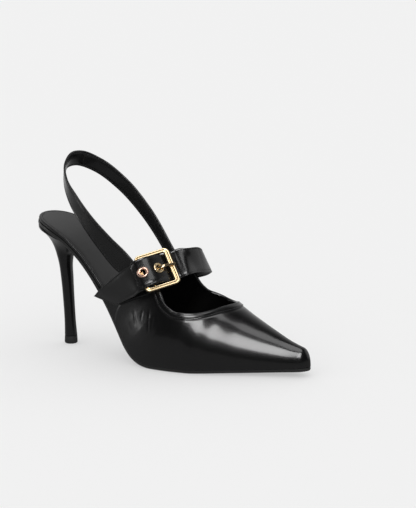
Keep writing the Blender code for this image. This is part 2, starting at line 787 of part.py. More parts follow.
def strap(name, rows, thickness, material):
    """A band through these rows: an open surface made solid by its thickness."""
    middle, half = rows[:, :3], rows[:, 3:]
    grid = np.stack([middle + half, middle, middle - half], axis=1)
    obj = solid(name, grid.reshape(-1, 3), quads(len(rows), 3), material)
    thicken = obj.modifiers.new("Thickness", "SOLIDIFY")
    thicken.thickness = thickness
    thicken.offset = 0.0
    thicken.use_even_offset = True
    return obj


def strap_place(dense, along):
    """Where on a strap's line, as a length, the place that far along the buckle lies."""
    reach = np.concatenate([[0.0], np.cumsum(np.linalg.norm(np.diff(dense[:, :3], axis=0), axis=1))])
    here = (dense[:, :3] - buckle_points(0, 0, 0)) @ buckle_directions()[0]
    first = np.argmax(reach > 0.6 * reach[-1])
    return reach, reach[first + np.argmin(np.abs(here[first:] - along))]


def on_strap(dense, reach, place, along, across, out):
    """Points given along, across and out from a place on a strap, which follow its bend."""
    stops = place + np.asarray(along, float)
    middle = np.stack([np.interp(stops, reach, dense[:, k]) for k in range(3)], axis=-1)
    slope = np.gradient(dense[:, :3], reach, axis=0)
    heading = np.stack([np.interp(stops, reach, slope[:, k]) for k in range(3)], axis=-1)
    heading /= np.linalg.norm(heading, axis=-1, keepdims=True)
    side = buckle_directions()[1]
    normal = np.cross(side, heading)
    normal /= np.linalg.norm(normal, axis=-1, keepdims=True)
    return middle + np.asarray(across)[..., None] * side + np.asarray(out)[..., None] * normal


def make_eyelet(name, dense, along, material):
    """A rolled eyelet whose rim follows the strap's bend."""
    reach, place = strap_place(dense, along)
    face = STRAP / 2 + EYELET_SEAT
    tube = EYELET_HOLE + EYELET_WALL
    profile = (
        (EYELET_HOLE, -STRAP / 4),
        (EYELET_HOLE, face + 0.7 * EYELET_HEIGHT),
        (EYELET_HOLE + 0.3 * (EYELET_RIM - EYELET_HOLE), face + EYELET_HEIGHT),
        (EYELET_HOLE + 0.7 * (EYELET_RIM - EYELET_HOLE), face + EYELET_HEIGHT),
        (EYELET_RIM, face + 0.4 * EYELET_HEIGHT),
        (EYELET_RIM, face),
        (tube, face),
        (tube, -STRAP / 4),
    )
    rings = []
    for angle in np.linspace(0, 2 * math.pi, EYELET_SIDES, endpoint=False):
        radius, height = (np.array(values) for values in zip(*profile))
        run, rise = radius * math.cos(angle), radius * math.sin(angle)
        rings.append(on_strap(dense, reach, place, run, rise, height))
    return loop(name, rings, material)


def add_cut(obj, name, points, faces):
    """Takes a closed shape out of an object with a hidden cutter."""
    mesh = bpy.data.meshes.new(name)
    mesh.from_pydata([tuple(map(float, point)) for point in points], [], faces)
    shape = bmesh.new()
    shape.from_mesh(mesh)
    bmesh.ops.recalc_face_normals(shape, faces=shape.faces)
    shape.to_mesh(mesh)
    shape.free()
    cutter = bpy.data.objects.new(name, mesh)
    cutter.hide_render = True
    cutter.display_type = "WIRE"
    CUTTERS.objects.link(cutter)
    cut = obj.modifiers.new(name, "BOOLEAN")
    cut.operation = "DIFFERENCE"
    cut.solver = "EXACT"
    cut.object = cutter


def cut_hole(obj, name, dense, along, radius):
    reach, place = strap_place(dense, along)
    angles = np.linspace(0, 2 * math.pi, EYELET_SIDES, endpoint=False)
    run, rise = radius * np.cos(angles), radius * np.sin(angles)
    rings = [
        on_strap(dense, reach, place, run, rise, np.full(len(angles), height))
        for height in (-1.4 * STRAP, 1.4 * STRAP)
    ]
    count = len(angles)
    sides = [(j, (j + 1) % count, count + (j + 1) % count, count + j) for j in range(count)]
    caps = [tuple(range(count)), tuple(range(count, 2 * count))]
    add_cut(obj, name, np.concatenate(rings), sides + caps)


def cut_slot(obj):
    """The slot in the base strap's fold that the prong's ring sits in."""
    ring = HINGE_RADIUS + GAP + PRONG_THICK
    near, far = hinge_shift() - ring - 2 * GAP, hinge_shift() + ring + SLOT_AHEAD
    high = ring + SLOT_OVER
    corners = [
        buckle_points(along, up + BELT_SHIFT, out)
        for along in (near, far)
        for up in (-SLOT_WIDTH / 2, SLOT_WIDTH / 2)
        for out in (-high, high)
    ]
    faces = [(0, 1, 3, 2), (4, 5, 7, 6), (0, 1, 5, 4), (2, 3, 7, 6), (0, 2, 6, 4), (1, 3, 7, 5)]
    add_cut(obj, "slot_cut", corners, faces)


def make_buckle_frame(material):
    across, out = column(FRAME_SECTION, "across") * BUCKLE_BAR, column(FRAME_SECTION, "out") * BUCKLE_DEPTH
    long, high = (BUCKLE_LONG - BUCKLE_BAR) / 2, (BUCKLE_HIGH - BUCKLE_BAR) / 2
    corner = BUCKLE_CORNER - BUCKLE_BAR / 2
    rings = []
    for quarter in range(4):
        for turn in np.linspace(0, 90, CORNER_STEPS):
            angle = math.radians(90 * quarter + turn)
            sign_long = 1 if quarter in (0, 3) else -1
            sign_high = 1 if quarter in (0, 1) else -1
            reach = corner + across * (1 + FAR_BAR_SHARE * max(math.cos(angle), 0))
            along = sign_long * (long - corner) + reach * math.cos(angle)
            up = sign_high * (high - corner) + reach * math.sin(angle)
            rings.append(buckle_points(along, up, out))
    return loop("buckle_frame", rings, material)


def make_buckle_bar(material):
    half = BUCKLE_HIGH / 2 - BUCKLE_BAR - GAP
    angles = np.linspace(0, 2 * math.pi, BAR_SIDES, endpoint=False)
    rings = [
        buckle_points(hinge_shift() + HINGE_RADIUS * np.cos(angles), up, HINGE_RADIUS * np.sin(angles))
        for up in (-half, half)
    ]
    return loft("buckle_bar", rings, material)


def make_prong(material):
    """The prong: a ring round the hinge bar and a tongue through the eyelet and over the far bar."""
    middle = HINGE_RADIUS + GAP + PRONG_THICK / 2
    angles = np.radians(np.linspace(*PRONG_TURNS, PRONG_STEPS))
    ring = np.stack([hinge_shift() + middle * np.cos(angles), middle * np.sin(angles)], axis=1)
    along, out = column(PRONG_AT_BUCKLE, "along") * BUCKLE_LONG, column(PRONG_AT_BUCKLE, "out") * INSTEP_RISE
    tongue = np.stack([along, out], axis=1)
    dense = spline(np.concatenate([ring, tongue]), LINE_SAMPLES)
    dense = by_bend(np.column_stack([dense, np.zeros(len(dense))]))[:, :2]
    slope = np.gradient(dense, axis=0)
    slope /= np.linalg.norm(slope, axis=1, keepdims=True)
    wide, thick = PRONG_WIDTH / 2, PRONG_THICK / 2
    section = (
        (wide, thick - PRONG_BEVEL),
        (wide - PRONG_BEVEL, thick),
        (PRONG_BEVEL - wide, thick),
        (-wide, thick - PRONG_BEVEL),
        (-wide, PRONG_BEVEL - thick),
        (PRONG_BEVEL - wide, -thick),
        (wide - PRONG_BEVEL, -thick),
        (wide, PRONG_BEVEL - thick),
    )
    rings = []
    for (along, out), (run, rise) in zip(dense, slope):
        rings.append([buckle_points(along - t * rise, BELT_SHIFT + w, out + t * run) for w, t in section])
    return loft("prong", rings, material)


PARTS = None
CUTTERS = None


def main():
    global PARTS, CUTTERS
    clear_scene()
    PARTS = new_collection("slingback_pump")
    CUTTERS = new_collection("cutters")
    black = finish("black_leather", (0.012, 0.012, 0.013), 0.25, 0.0)
    lining = finish("insole_leather", (0.020, 0.020, 0.021), 0.45, 0.0)
    sole = finish("sole_leather", (0.030, 0.030, 0.030), 0.50, 0.0)
    rubber = finish("rubber", (0.020, 0.020, 0.020), 0.70, 0.0)
    gold = finish("gold", (0.830, 0.620, 0.330), 0.18, 1.0)
    make_outsole(sole)
    make_insole(lining)
    make_upper(black)
    make_heel(black)
    make_top_piece(rubber)
    instep = instep_line()
    band = strap("instep_strap", by_bend(instep), STRAP, black)
    hole = EYELET_HOLE + EYELET_WALL + GAP
    cut_hole(band, "engaged_cut", instep, ENGAGED_AT * BUCKLE_LONG, hole)
    cut_hole(band, "spare_cut", instep, SPARE_AT * BUCKLE_LONG, hole)
    cut_slot(strap("base_strap", by_bend(base_line()), STRAP, black))
    sling = spline(free_rows(SLING_ROWS, SLING_WIDTH), LINE_SAMPLES)
    strap("sling_strap", by_bend(sling), SLING, black)
    make_buckle_frame(gold)
    make_buckle_bar(gold)
    make_prong(gold)
    make_eyelet("eyelet_engaged", instep, ENGAGED_AT * BUCKLE_LONG, gold)
    make_eyelet("eyelet_spare", instep, SPARE_AT * BUCKLE_LONG, gold)


main()
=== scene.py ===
"""The looks of the right slingback pump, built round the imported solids.

X runs to the toe, Y to the inner side of the foot and Z up. Every size is in metres. The shoe's curves are
the same as its solids', drawn finer, with rounded edges, seams, creases, stitches and finishes.
"""

import math

import bmesh
import bpy
import numpy as np
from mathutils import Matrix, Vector


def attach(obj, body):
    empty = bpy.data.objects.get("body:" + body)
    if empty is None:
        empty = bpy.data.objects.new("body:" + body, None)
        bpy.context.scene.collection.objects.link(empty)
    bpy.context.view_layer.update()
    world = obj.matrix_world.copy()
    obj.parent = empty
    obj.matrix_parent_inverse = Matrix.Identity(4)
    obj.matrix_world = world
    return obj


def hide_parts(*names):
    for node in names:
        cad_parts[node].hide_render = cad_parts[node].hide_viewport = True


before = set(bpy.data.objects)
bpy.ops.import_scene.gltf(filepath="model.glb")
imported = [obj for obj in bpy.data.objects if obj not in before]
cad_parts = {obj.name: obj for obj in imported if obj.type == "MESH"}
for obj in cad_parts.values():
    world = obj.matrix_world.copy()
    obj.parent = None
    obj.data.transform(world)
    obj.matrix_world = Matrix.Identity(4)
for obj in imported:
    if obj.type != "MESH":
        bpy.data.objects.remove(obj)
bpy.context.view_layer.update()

# Camera: it looks at TARGET from the photograph's angle
AZIMUTH = 27.0
ELEVATION = 14.0
DISTANCE = 1.5
TARGET = (0.1288, 0.0, 0.0906)
LENS = 133.3
SENSOR = 36.0

# Driving sizes of the shoe
LENGTH = 0.2433
HEEL_SETBACK = 0.0260
BALL_WIDTH = 0.0730
SEAT_WIDTH = 0.0490
SEAT_HEIGHT = 0.1040
TOE_SPRING = 0.0048
THROAT_HEIGHT = 0.0470
NOSE_ROUND = 0.0070
NOSE_HEIGHT_ROUND = 0.0055

# Thicknesses and clearances
SOLE = 0.0030
BOARD = 0.0028
WALL = 0.0016
GAP = 0.0003
COLLAR_STEP = 0.0007
COLLAR_WIDTH = 0.0062
VAMP_STEP = 0.0005
OVERHANG = 0.0008

# The last draws back by TOE_INSET at the toe, from the share TOE_FROM_SHARE of LENGTH on
TOE_INSET = 0.0018
TOE_FROM_SHARE = 0.85
INSOLE_NARROWS_SHARE = 0.015
INSOLE_END_SHARE = 0.965

# The underside of the sole: at is a share of LENGTH from the seat's back edge, rise a share of SEAT_HEIGHT
# and spring a share of TOE_SPRING.
PROFILE = (
    ("at", "rise", "spring"),
    (0.000, 1.000, 0.0),
    (0.034, 0.980, 0.0),
    (0.074, 0.949, 0.0),
    (0.132, 0.882, 0.0),
    (0.177, 0.790, 0.0),
    (0.218, 0.671, 0.0),
    (0.267, 0.516, 0.0),
    (0.317, 0.352, 0.0),
    (0.358, 0.214, 0.0),
    (0.391, 0.114, 0.0),
    (0.424, 0.046, 0.0),
    (0.456, 0.012, 0.0),
    (0.492, 0.000, 0.0),
    (0.620, 0.000, 0.0),
    (0.724, 0.000, 0.22),
    (0.848, 0.000, 0.50),
    (0.950, 0.000, 0.78),
    (1.000, 0.000, 1.00),
)

# The sole's outline from the top: seat is a share of SEAT_WIDTH, ball and centre are shares of BALL_WIDTH.
# The half width is seat and ball together.
OUTLINE = (
    ("at", "seat", "ball", "centre"),
    (0.000, 0.500, 0.000, 0.000),
    (0.107, 0.500, 0.000, 0.000),
    (0.156, 0.470, 0.015, 0.000),
    (0.209, 0.350, 0.058, -0.005),
    (0.271, 0.190, 0.145, -0.029),
    (0.333, 0.080, 0.241, -0.062),
    (0.394, 0.020, 0.352, -0.077),
    (0.456, 0.000, 0.433, -0.057),
    (0.518, 0.000, 0.476, -0.031),
    (0.567, 0.000, 0.493, -0.007),
    (0.621, 0.000, 0.486, 0.012),
    (0.682, 0.000, 0.440, 0.029),
    (0.764, 0.000, 0.342, 0.041),
    (0.847, 0.000, 0.236, 0.047),
    (0.921, 0.000, 0.142, 0.050),
    (1.000, 0.000, 0.070, 0.060),
)

# Sections of the last over the sole. high is a share of THROAT_HEIGHT, lean the section's forward tilt in
# degrees, ridge the crest's place and bulge the sides' swell as shares of the half width, shoulder how full
# the side is under the crest.
LAST = (
    ("at", "high", "lean", "ridge", "bulge", "shoulder"),
    (0.228, 2.00, 52.0, 0.00, 0.40, 0.95),
    (0.288, 1.95, 50.0, 0.00, 0.40, 0.95),
    (0.349, 1.90, 45.0, 0.02, 0.34, 0.90),
    (0.410, 1.80, 38.0, 0.03, 0.26, 0.82),
    (0.471, 1.62, 31.0, 0.04, 0.20, 0.76),
    (0.543, 1.40, 23.0, 0.05, 0.16, 0.70),
    (0.624, 1.17, 14.0, 0.05, 0.13, 0.62),
    (0.695, 1.00, 7.0, 0.05, 0.12, 0.56),
    (0.776, 0.78, 3.0, 0.06, 0.10, 0.52),
    (0.858, 0.56, 1.0, 0.08, 0.08, 0.52),
    (0.929, 0.38, 0.0, 0.10, 0.06, 0.54),
    (1.000, 0.24, 0.0, 0.10, 0.04, 0.60),
)

# Strips of the upper. Each runs from the feather edge to the topline round the throat: foot is its start,
# from the outer side's rear over the toe, 1, to the inner side's rear, which is 2 less its at. turn runs over
# the last from the outer feather edge, 0, to the inner one, 1.
STRIPS = (
    ("foot", "at", "turn"),
    (0.288, 0.345, 0.215),
    (0.380, 0.390, 0.222),
    (0.435, 0.440, 0.242),
    (0.500, 0.505, 0.258),
    (0.545, 0.550, 0.273),
    (0.590, 0.590, 0.295),
    (0.650, 0.630, 0.335),
    (0.740, 0.665, 0.385),
    (0.860, 0.690, 0.440),
    (1.000, 0.702, 0.500),
    (1.140, 0.697, 0.560),
    (1.260, 0.682, 0.618),
    (1.350, 0.655, 0.664),
    (1.410, 0.612, 0.695),
    (1.455, 0.560, 0.710),
    (1.500, 0.503, 0.716),
    (1.565, 0.444, 0.724),
    (1.620, 0.394, 0.736),
    (1.712, 0.345, 0.745),
)
VAMP_BACK_SHARE = 0.305

# How the strips' points crowd to the feather edge: STRIP_POWER bends their line over the last, and toward the
# toe they crowd by TOE_CROWD, from a share of LENGTH on and over another
STRIP_POWER = 2.5
FULL_TURN_SHARE = 0.25
TOE_CROWD = 0.7
TOE_CROWD_FROM_SHARE = 0.6
TOE_CROWD_OVER_SHARE = 0.3
MOST_BAND_SHARE = 0.3

# The heel: level is a share of SEAT_HEIGHT, centre, long and wide are shares of HEEL_TIP. Its seat starts
# HEEL_INSET from the sole's back edge and ends at HEEL_BREAST. The stem flares into it along a curve whose
# middle point is the share HEEL_FLARE_SHARE of the way to the stem and HEEL_DROP below the seat.
HEEL_TIP = 0.0104
TOP_PIECE = 0.0062
HEEL_EDGE = 0.0018
HEEL_INSET = 0.0012
HEEL_BREAST = 0.0105
HEEL_SEAT_SHARE = 0.45
HEEL_SEAT_SQUARE = 0.8
HEEL_FLARE_SHARE = 0.72
HEEL_DROP = 0.008
HEEL_ROUND = 0.0003
HEEL_ROUND_SHARE = 0.03
HEEL_TIP_SHARE = 0.94
HEEL = (
    ("level", "centre", "long", "wide"),
    (0.745, -0.400, 0.700, 0.800),
    (0.670, -0.360, 0.545, 0.660),
    (0.530, -0.250, 0.475, 0.560),
    (0.345, -0.140, 0.445, 0.485),
    (0.170, -0.050, 0.450, 0.470),
)

# The buckle: its middle as shares of LENGTH, BALL_WIDTH and SEAT_HEIGHT, and its turns in degrees
BUCKLE_PLACE_SHARES = (0.3980, -0.368, 0.766)
BUCKLE_YAW = 46.5
BUCKLE_PITCH = 12.5
BUCKLE_ROLL = 38.0
BUCKLE_LONG = 0.0290
BUCKLE_HIGH = 0.0320
BUCKLE_CORNER = 0.0042
BUCKLE_BAR = 0.0034
BUCKLE_DEPTH = 0.0029
HINGE_RADIUS = 0.0009
HINGE_AT = -0.2034
HINGE = HINGE_AT * BUCKLE_LONG

# The far bar is wider by FAR_BAR_SHARE. The section is in shares of BUCKLE_BAR across and BUCKLE_DEPTH out.
FAR_BAR_SHARE = 0.30
FRAME_SECTION = (
    ("across", "out"),
    (-0.50, -0.50),
    (0.50, -0.50),
    (0.50, 0.28),
    (0.40, 0.50),
    (0.14, 0.50),
    (0.00, 0.28),
    (-0.14, 0.50),
    (-0.40, 0.50),
    (-0.50, 0.28),
)

# Straps
STRAP = 0.0018
STRAP_WIDTH = 0.0240
BELT_SHIFT = 0.0002
BASE_WIDTH = 0.0235
SLING_WIDTH = 0.0136
SLING = 0.0016
EYELET_HOLE = 0.0023
EYELET_RIM = 0.0044
EYELET_WALL = 0.0004
EYELET_HEIGHT = 0.0008
EYELET_SEAT = 0.00042
PRONG_WIDTH = 0.0018
PRONG_THICK = 0.0012
SLOT_WIDTH = 0.0030
SLOT_AHEAD = 0.0030
SLOT_OVER = 0.0014

# Turns round the hinge bar in degrees, first and last
FOLD_TURNS = (-90, 130)
PRONG_TURNS = (15, -280)

# The fold of the base strap round the hinge bar, and how high the instep strap passes over it
FOLD = HINGE_RADIUS + GAP + STRAP / 2
INSTEP_CLEAR = 0.0005
INSTEP_RISE = FOLD + STRAP / 2 + INSTEP_CLEAR + STRAP / 2

# Strap and prong in the buckle's own directions: along from its middle as a share of BUCKLE_LONG, and out
# from its plane as a share of INSTEP_RISE
INSTEP_AT_BUCKLE = (
    ("along", "out"),
    (0.776, -0.066),
    (0.586, -0.435),
    (0.441, -0.699),
    (0.331, -0.521),
    (0.214, -0.092),
    (0.038, 0.501),
    (-0.097, 0.863),
    (-0.203, 1.002),
    (-0.314, 0.982),
    (-0.424, 0.811),
    (-0.510, 0.606),
    (-0.579, 0.224),
    (-0.650, -0.224),
)
PRONG_AT_BUCKLE = (
    ("along", "out"),
    (-0.110, 0.369),
    (-0.040, 0.461),
    (0.030, 0.659),
    (0.105, 0.910),
    (0.190, 1.041),
    (0.320, 0.844),
    (0.441, 0.606),
    (0.540, 0.514),
)
ENGAGED_AT = 0.026
SPARE_AT = -0.415

# The base strap on both sides of its fold, from the hinge bar's middle in shares of FOLD
BASE_AT_HINGE = (
    ("along", "out"),
    (-1.720, -0.690),
    (-2.272, -1.436),
    (-3.129, -1.768),
    (-4.510, -1.712),
    (-5.435, -2.016),
)
TAIL_AT_HINGE = (
    ("along", "out"),
    (-1.665, -2.720),
    (-1.099, -1.947),
    (-0.610, -1.305),
    (-0.310, -1.066),
)

# Free rows of the straps: long and level are shares of LENGTH and SEAT_HEIGHT, side is a share of the sole's
# half width there, from its centre line, lean is the tilt of the strap's width to the toe and tuck to the
# inside, in degrees, and wide a share of its width.
INSTEP_ROWS = (
    ("long", "side", "level", "lean", "tuck", "wide"),
    (0.219, 1.155, 0.436, -27, 0, 0.90),
    (0.253, 1.128, 0.489, -27, 1, 0.90),
    (0.286, 1.206, 0.540, -27, 4, 0.90),
    (0.322, 1.268, 0.590, -27, 8, 0.90),
    (0.387, 1.072, 0.655, -26, 12, 0.90),
    (0.448, 0.799, 0.712, -22, 16, 0.90),
    (0.484, 0.504, 0.765, -17, 18, 0.90),
    (0.488, 0.197, 0.800, -19, 6, 0.90),
    (0.476, -0.080, 0.813, -26, -4, 0.90),
)
BASE_ROWS = (
    ("long", "side", "level", "lean", "tuck", "wide"),
    (0.309, -1.118, 0.650, -46, 10, 0.99),
    (0.270, -1.178, 0.585, -61, 10, 0.98),
    (0.228, -1.189, 0.517, -74, 11, 1.02),
    (0.1995, -1.068, 0.467, -83, 15, 1.09),
)
SLING_ROWS = (
    ("long", "side", "level", "lean", "tuck", "wide"),
    (0.365, 0.927, 0.655, 45, 10, 0.80),
    (0.329, 1.116, 0.760, 48, 14, 0.80),
    (0.228, 1.663, 1.070, 50, 10, 0.92),
    (0.140, 1.517, 1.285, 46, 6, 1.00),
    (0.056, 0.991, 1.430, 36, 0, 1.00),
    (0.012, 0.567, 1.490, 24, -6, 1.00),
    (0.000, 0.089, 1.490, 19, 0, 1.00),
    (0.007, -0.328, 1.435, 24, -30, 1.00),
    (0.031, -0.660, 1.340, 34, -34, 1.00),
    (0.073, -0.944, 1.230, 42, -20, 1.00),
    (0.137, -1.298, 1.090, 43, -8, 1.00),
    (0.211, -1.229, 0.930, 42, 0, 1.16),
    (0.270, -0.958, 0.808, 42, 0, 1.32),
    (0.297, -0.846, 0.752, 44, 0, 1.20),
)

# Lines: the strips' spacing counts the feather edge's turn by TURN_WEIGHT, and every strap passes the buckle
# beyond BUCKLED_SHARE of its length
TURN_WEIGHT = 0.020
LINE_SAMPLES = 1400
STRIP_SAMPLES = 160
SPLINE_SAMPLES = 40
BUCKLED_SHARE = 0.6

# How finely the pieces are drawn
UPPER_ROWS = 240
UPPER_DOWN = 54
BAND_ROWS = 9
LEAST_STEP = 0.00008
PLATE_STEPS = 150
PLATE_ACROSS = 10
MOST_INSET_SHARE = 0.9
HEEL_SIDES = 72
HEEL_RINGS = 40
HEEL_FLARE_STEPS = 22
EYELET_SIDES = 64
FOLD_STEPS = 16
PRONG_STEPS = 22
CORNER_STEPS = 16
STRAP_STEP = 0.0014
STRAP_TURN = 5.0
STRAP_ACROSS = 9
SHARP = 40
INSOLE_NARROWS_FROM = STRIPS[1][0] - 0.030

# Upper: the topline is a mean over TOPLINE_SOFT samples, and the collar's inner corner one over CORNER_SOFT
# rows. Normals are the last's own, but the drawn wall's round the toe, from TOE_NORMALS_SHARE on.
TOPLINE_SOFT = 61
CORNER_SOFT = 31
INNER_CORNER = (1.50, 1.67)
NORMAL_STEP = 0.0015
TOE_NORMALS_SHARE = 0.86
EASED_OVER = 0.06
UPPER_SHARP = 60

# Rolled topline, seams and stitch rows
EDGE_ROLL = 0.0013
ROLL_LEAST = 0.16
EDGE_STOPS = np.array([0.0, 0.0001, 0.0003, 0.0006, 0.0010, 0.0014, 0.0018])
BAND_STOPS = np.array([-0.0007, -0.0004, -0.0002, 0.0, 0.0002, 0.0004, 0.0008])
SEAM_ROWS = np.array([-0.0010, -0.0006, -0.0003, -0.0001, 0.0001, 0.0003, 0.0006, 0.0010])
SEAM_RISE = 0.0005
SEAM_DEEP = 0.00022
COLLAR_STITCH = 0.0014
SEAM_STITCH = 0.0012
STITCH_DEEP = 0.00022
STITCH_SOFT = 0.00055
# The vamp's back seams run down a strip and bend forward at the foot: each seam's strip, and its foot's
SEAM_ENDS = ((VAMP_BACK_SHARE, 0.335), (2 - VAMP_BACK_SHARE, 1.665))
SEAM_BENDS_FROM = 0.70
SEAM_BEND_POWER = 1.5
SEAM_FOOT_ROWS = 36
SEAM_FOOT_SOFTER = 1.5
# Creases of the upper: each runs between two places given as a strip's foot and a drop from the topline
CREASED = (0.33, 0.46)
CREASE_ROWS = 90
CREASE_ENDS = 0.02
CREASES = (
    ("foot_a", "drop_a", "foot_b", "drop_b", "width", "deep"),
    (0.362, 0.0150, 0.416, 0.0275, 0.0010, -0.00014),
    (0.388, 0.0140, 0.420, 0.0235, 0.0008, -0.00010),
    (0.372, 0.0200, 0.396, 0.0200, 0.0007, 0.00007),
    (0.333, 0.0295, 0.372, 0.0335, 0.0009, -0.00012),
    (0.404, 0.0112, 0.446, 0.0190, 0.0010, -0.00009),
    (0.348, 0.0212, 0.370, 0.0262, 0.0008, -0.00009),
    (0.352, 0.0385, 0.376, 0.0410, 0.0012, -0.00010),
)

# Edges of the plates from the top face down, as insets and lifts over the plate's own underside, and the row
# of the insole's that carries the stitches
OUTSOLE_EDGE = (
    (0.0006, SOLE),
    (0.0001, SOLE - 0.0002),
    (0.0000, SOLE - 0.0007),
    (0.0000, 0.0010),
    (0.0003, 0.0004),
    (0.0009, 0.0000),
)
INSOLE_EDGE = (
    (0.0034, BOARD - 0.00002),
    (0.0029, BOARD - 0.00006),
    (0.0026, BOARD - 0.00022),
    (0.0023, BOARD - 0.00006),
    (0.0018, BOARD),
    (0.0012, BOARD - 0.00002),
    (0.0007, BOARD - 0.0001),
    (0.0003, BOARD - 0.0003),
    (0.0001, BOARD - 0.0007),
    (0.0000, BOARD - 0.0013),
    (0.0002, 0.0005),
    (0.0008, 0.0),
)
INSOLE_STITCHED = 2

# Rings of the top piece: a share of HEEL_TIP and a level
TOP_PIECE_RINGS = (
    (0.98, 0.0),
    (1.02, 0.0003),
    (1.04, 0.0008),
    (1.03, 0.0030),
    (1.00, 0.0060),
    (0.97, TOP_PIECE),
)

# Straps: the edge from below to above as an inset and a share of half the thickness, and the face's stops
STRAP_EDGE = (
    (0.00034, -1.0),
    (0.00012, -0.90),
    (0.00000, -0.60),
    (0.00003, -0.18),
    (0.00018, 0.0),
    (0.00003, 0.18),
    (0.00000, 0.60),
    (0.00012, 0.90),
    (0.00034, 1.0),
)
STRAP_INWARD = (0.0008, 0.0013, 0.0016, 0.0019, 0.0025)
STRAP_STITCH = 0.0016
STRAP_SHARP = 50
BASE_STITCHED_FROM = 0.026
BASE_END_INSET = 0.0030
INSTEP_STITCHED_TO = 0.003
INSTEP_END_INSET = 0.0042
INSTEP_END_ROUND = 0.004
SLING_END_ROUND = 0.002
CROSS_POINTS = 12
CUT_REACH = 1.4 * STRAP
END_STOPS = np.array([0.0, 0.0002, 0.0005, 0.0009, 0.0014, 0.0020, 0.0027, 0.0035])

# Creases across the instep strap: each one's stop from the inner end, slant, width and height
INSTEP_CREASES = (
    ("stop", "slant", "width", "deep"),
    (0.1148, 0.0012, 0.0011, -0.00014),
    (0.1168, -0.0008, 0.0009, 0.00010),
    (0.1192, 0.0014, 0.0011, -0.00014),
    (0.1222, -0.0010, 0.0012, -0.00010),
)
INSTEP_CREASED = np.arange(0.1115, 0.1255, 0.0004)

# Thread: stitch rings along the stitch, their size and lift in thread radii
THREAD = 0.00024
PITCH = 0.0021
STRAP_PITCH = 0.0024
RIM_PITCH = 0.0026
STITCH_SHARE = 0.78
STITCH_RINGS = ((-1.0, 0.35, -0.6), (-0.75, 0.9, 0.1), (0.0, 1.0, 0.5), (0.75, 0.9, 0.1), (1.0, 0.35, -0.6))
THREAD_SHARP = 80
THREAD_ANGLES = [math.radians(60 * k + 30) for k in range(6)]

# Buckle: rounded corners, steps along the prong and its thinner tip, and the eyelet's dome in degrees
FRAME_ROUND = 0.0003
MOST_ROUND_SHARE = 0.45
FRAME_SHARP = 30
BAR_SIDES = 32
BAR_BEVEL = 0.0002
BAR_END_SHARE = 0.8
PRONG_ROUND = 0.0004
PRONG_STEP = 0.0012
PRONG_TURN = 8
PRONG_TIP = 0.0015
PRONG_TIP_SHARE = 0.55
EYELET_DOME = (180, 20, 9)
EYELET_LIP = 0.0001

# Heel cover's seam at the breast
HEEL_SEAM_WIDE = 0.00025
HEEL_SEAM_DEEP = 0.00018

# Textures in repeats a metre, heights of their bumps, and the range of the grain that the gloss follows
BROAD_SCALE = 55.0
GRAIN_SCALE = 1500.0
PORE_SCALE = 2600.0
WEAR_SCALE = 350.0
WEAR_BUMP = 0.05
SWAY_HIGH = 0.0006
PORE_HIGH = 0.00006
GRAIN_HIGH = 0.00005
GLOSS_FROM = (0.3, 0.7)

# Finishes: two tones, range of roughness, coat and its roughness, and strengths of grain and unevenness
LEATHERS = (
    ("name", "colour", "light", "rough", "coat", "coat_rough", "grain", "sway"),
    ("box_leather", (0.0012, 0.0012, 0.0014), (0.003, 0.003, 0.0033), (0.19, 0.27), 0.50, 0.09, 0.04, 0.03),
    ("strap_leather", (0.0016, 0.0016, 0.0018), (0.004, 0.004, 0.0044), (0.24, 0.34), 0.35, 0.12, 0.12, 0.08),
    ("matt_leather", (0.0045, 0.0045, 0.0047), (0.009, 0.009, 0.0093), (0.38, 0.50), 0.15, 0.25, 0.30, 0.15),
    ("lining_leather", (0.006, 0.006, 0.0062), (0.011, 0.011, 0.0115), (0.36, 0.46), 0.1, 0.3, 0.25, 0.15),
    ("edge_leather", (0.012, 0.012, 0.012), (0.020, 0.020, 0.020), (0.35, 0.50), 0.2, 0.2, 0.3, 0.2),
    ("tip_rubber", (0.010, 0.010, 0.010), (0.016, 0.016, 0.016), (0.6, 0.75), 0.0, 0.3, 0.5, 0.2),
    ("thread", (0.010, 0.010, 0.011), (0.022, 0.022, 0.023), (0.40, 0.55), 0.0, 0.3, 0.3, 0.1),
)
METALS = (
    ("name", "colour", "light", "rough"),
    ("pale_gold", (0.94, 0.72, 0.42), (0.98, 0.80, 0.52), (0.10, 0.18)),
    ("rose_gold", (0.88, 0.55, 0.42), (0.94, 0.65, 0.52), (0.22, 0.32)),
)

# Stage and lights: name, place, aim, size and power
WHITE = (1.0, 1.0, 1.0, 1.0)
FLOOR_REACH = 12.0
FLOOR_LEVEL = -0.0003
FLOOR_COLOUR = (0.50, 0.50, 0.50)
FLOOR_LIGHT = 0.43
FLOOR_GLOW_REACH = 0.6
GLOW_FROM = -0.1
GLOW_TO = 0.8
FLOOR_FRONT = 0.20
WORLD_FRONT = 0.03
GLOW_BEHIND = 0.60
WORLD_PALE = (0.905, 0.905, 0.905)
LIGHTS = (
    ("key", (0.64, -0.99, 0.78), (0.15, -0.01, 0.03), (0.48, 0.58), 7.6),
    ("top", (0.32, -0.24, 1.05), (0.10, -0.02, 0.06), (0.50, 0.70), 2.6),
    ("left", (-1.00, -0.62, 0.22), (0.08, 0.00, 0.05), (0.35, 0.60), 1.4),
    ("right", (1.10, 0.60, 0.50), (0.12, 0.0, 0.05), (0.90, 0.90), 1.1),
)


def instep_relief(stops, across):
    """Soft creases where the instep strap bends into the buckle, past its far bar."""
    height = np.zeros_like(stops)
    for stop, slant, width, deep in INSTEP_CREASES[1:]:
        height += deep * dent(stops - slant * across, stop, width)
    return height


def column(table, name):
    place = table[0].index(name)
    return np.array([row[place] for row in table[1:]], float)


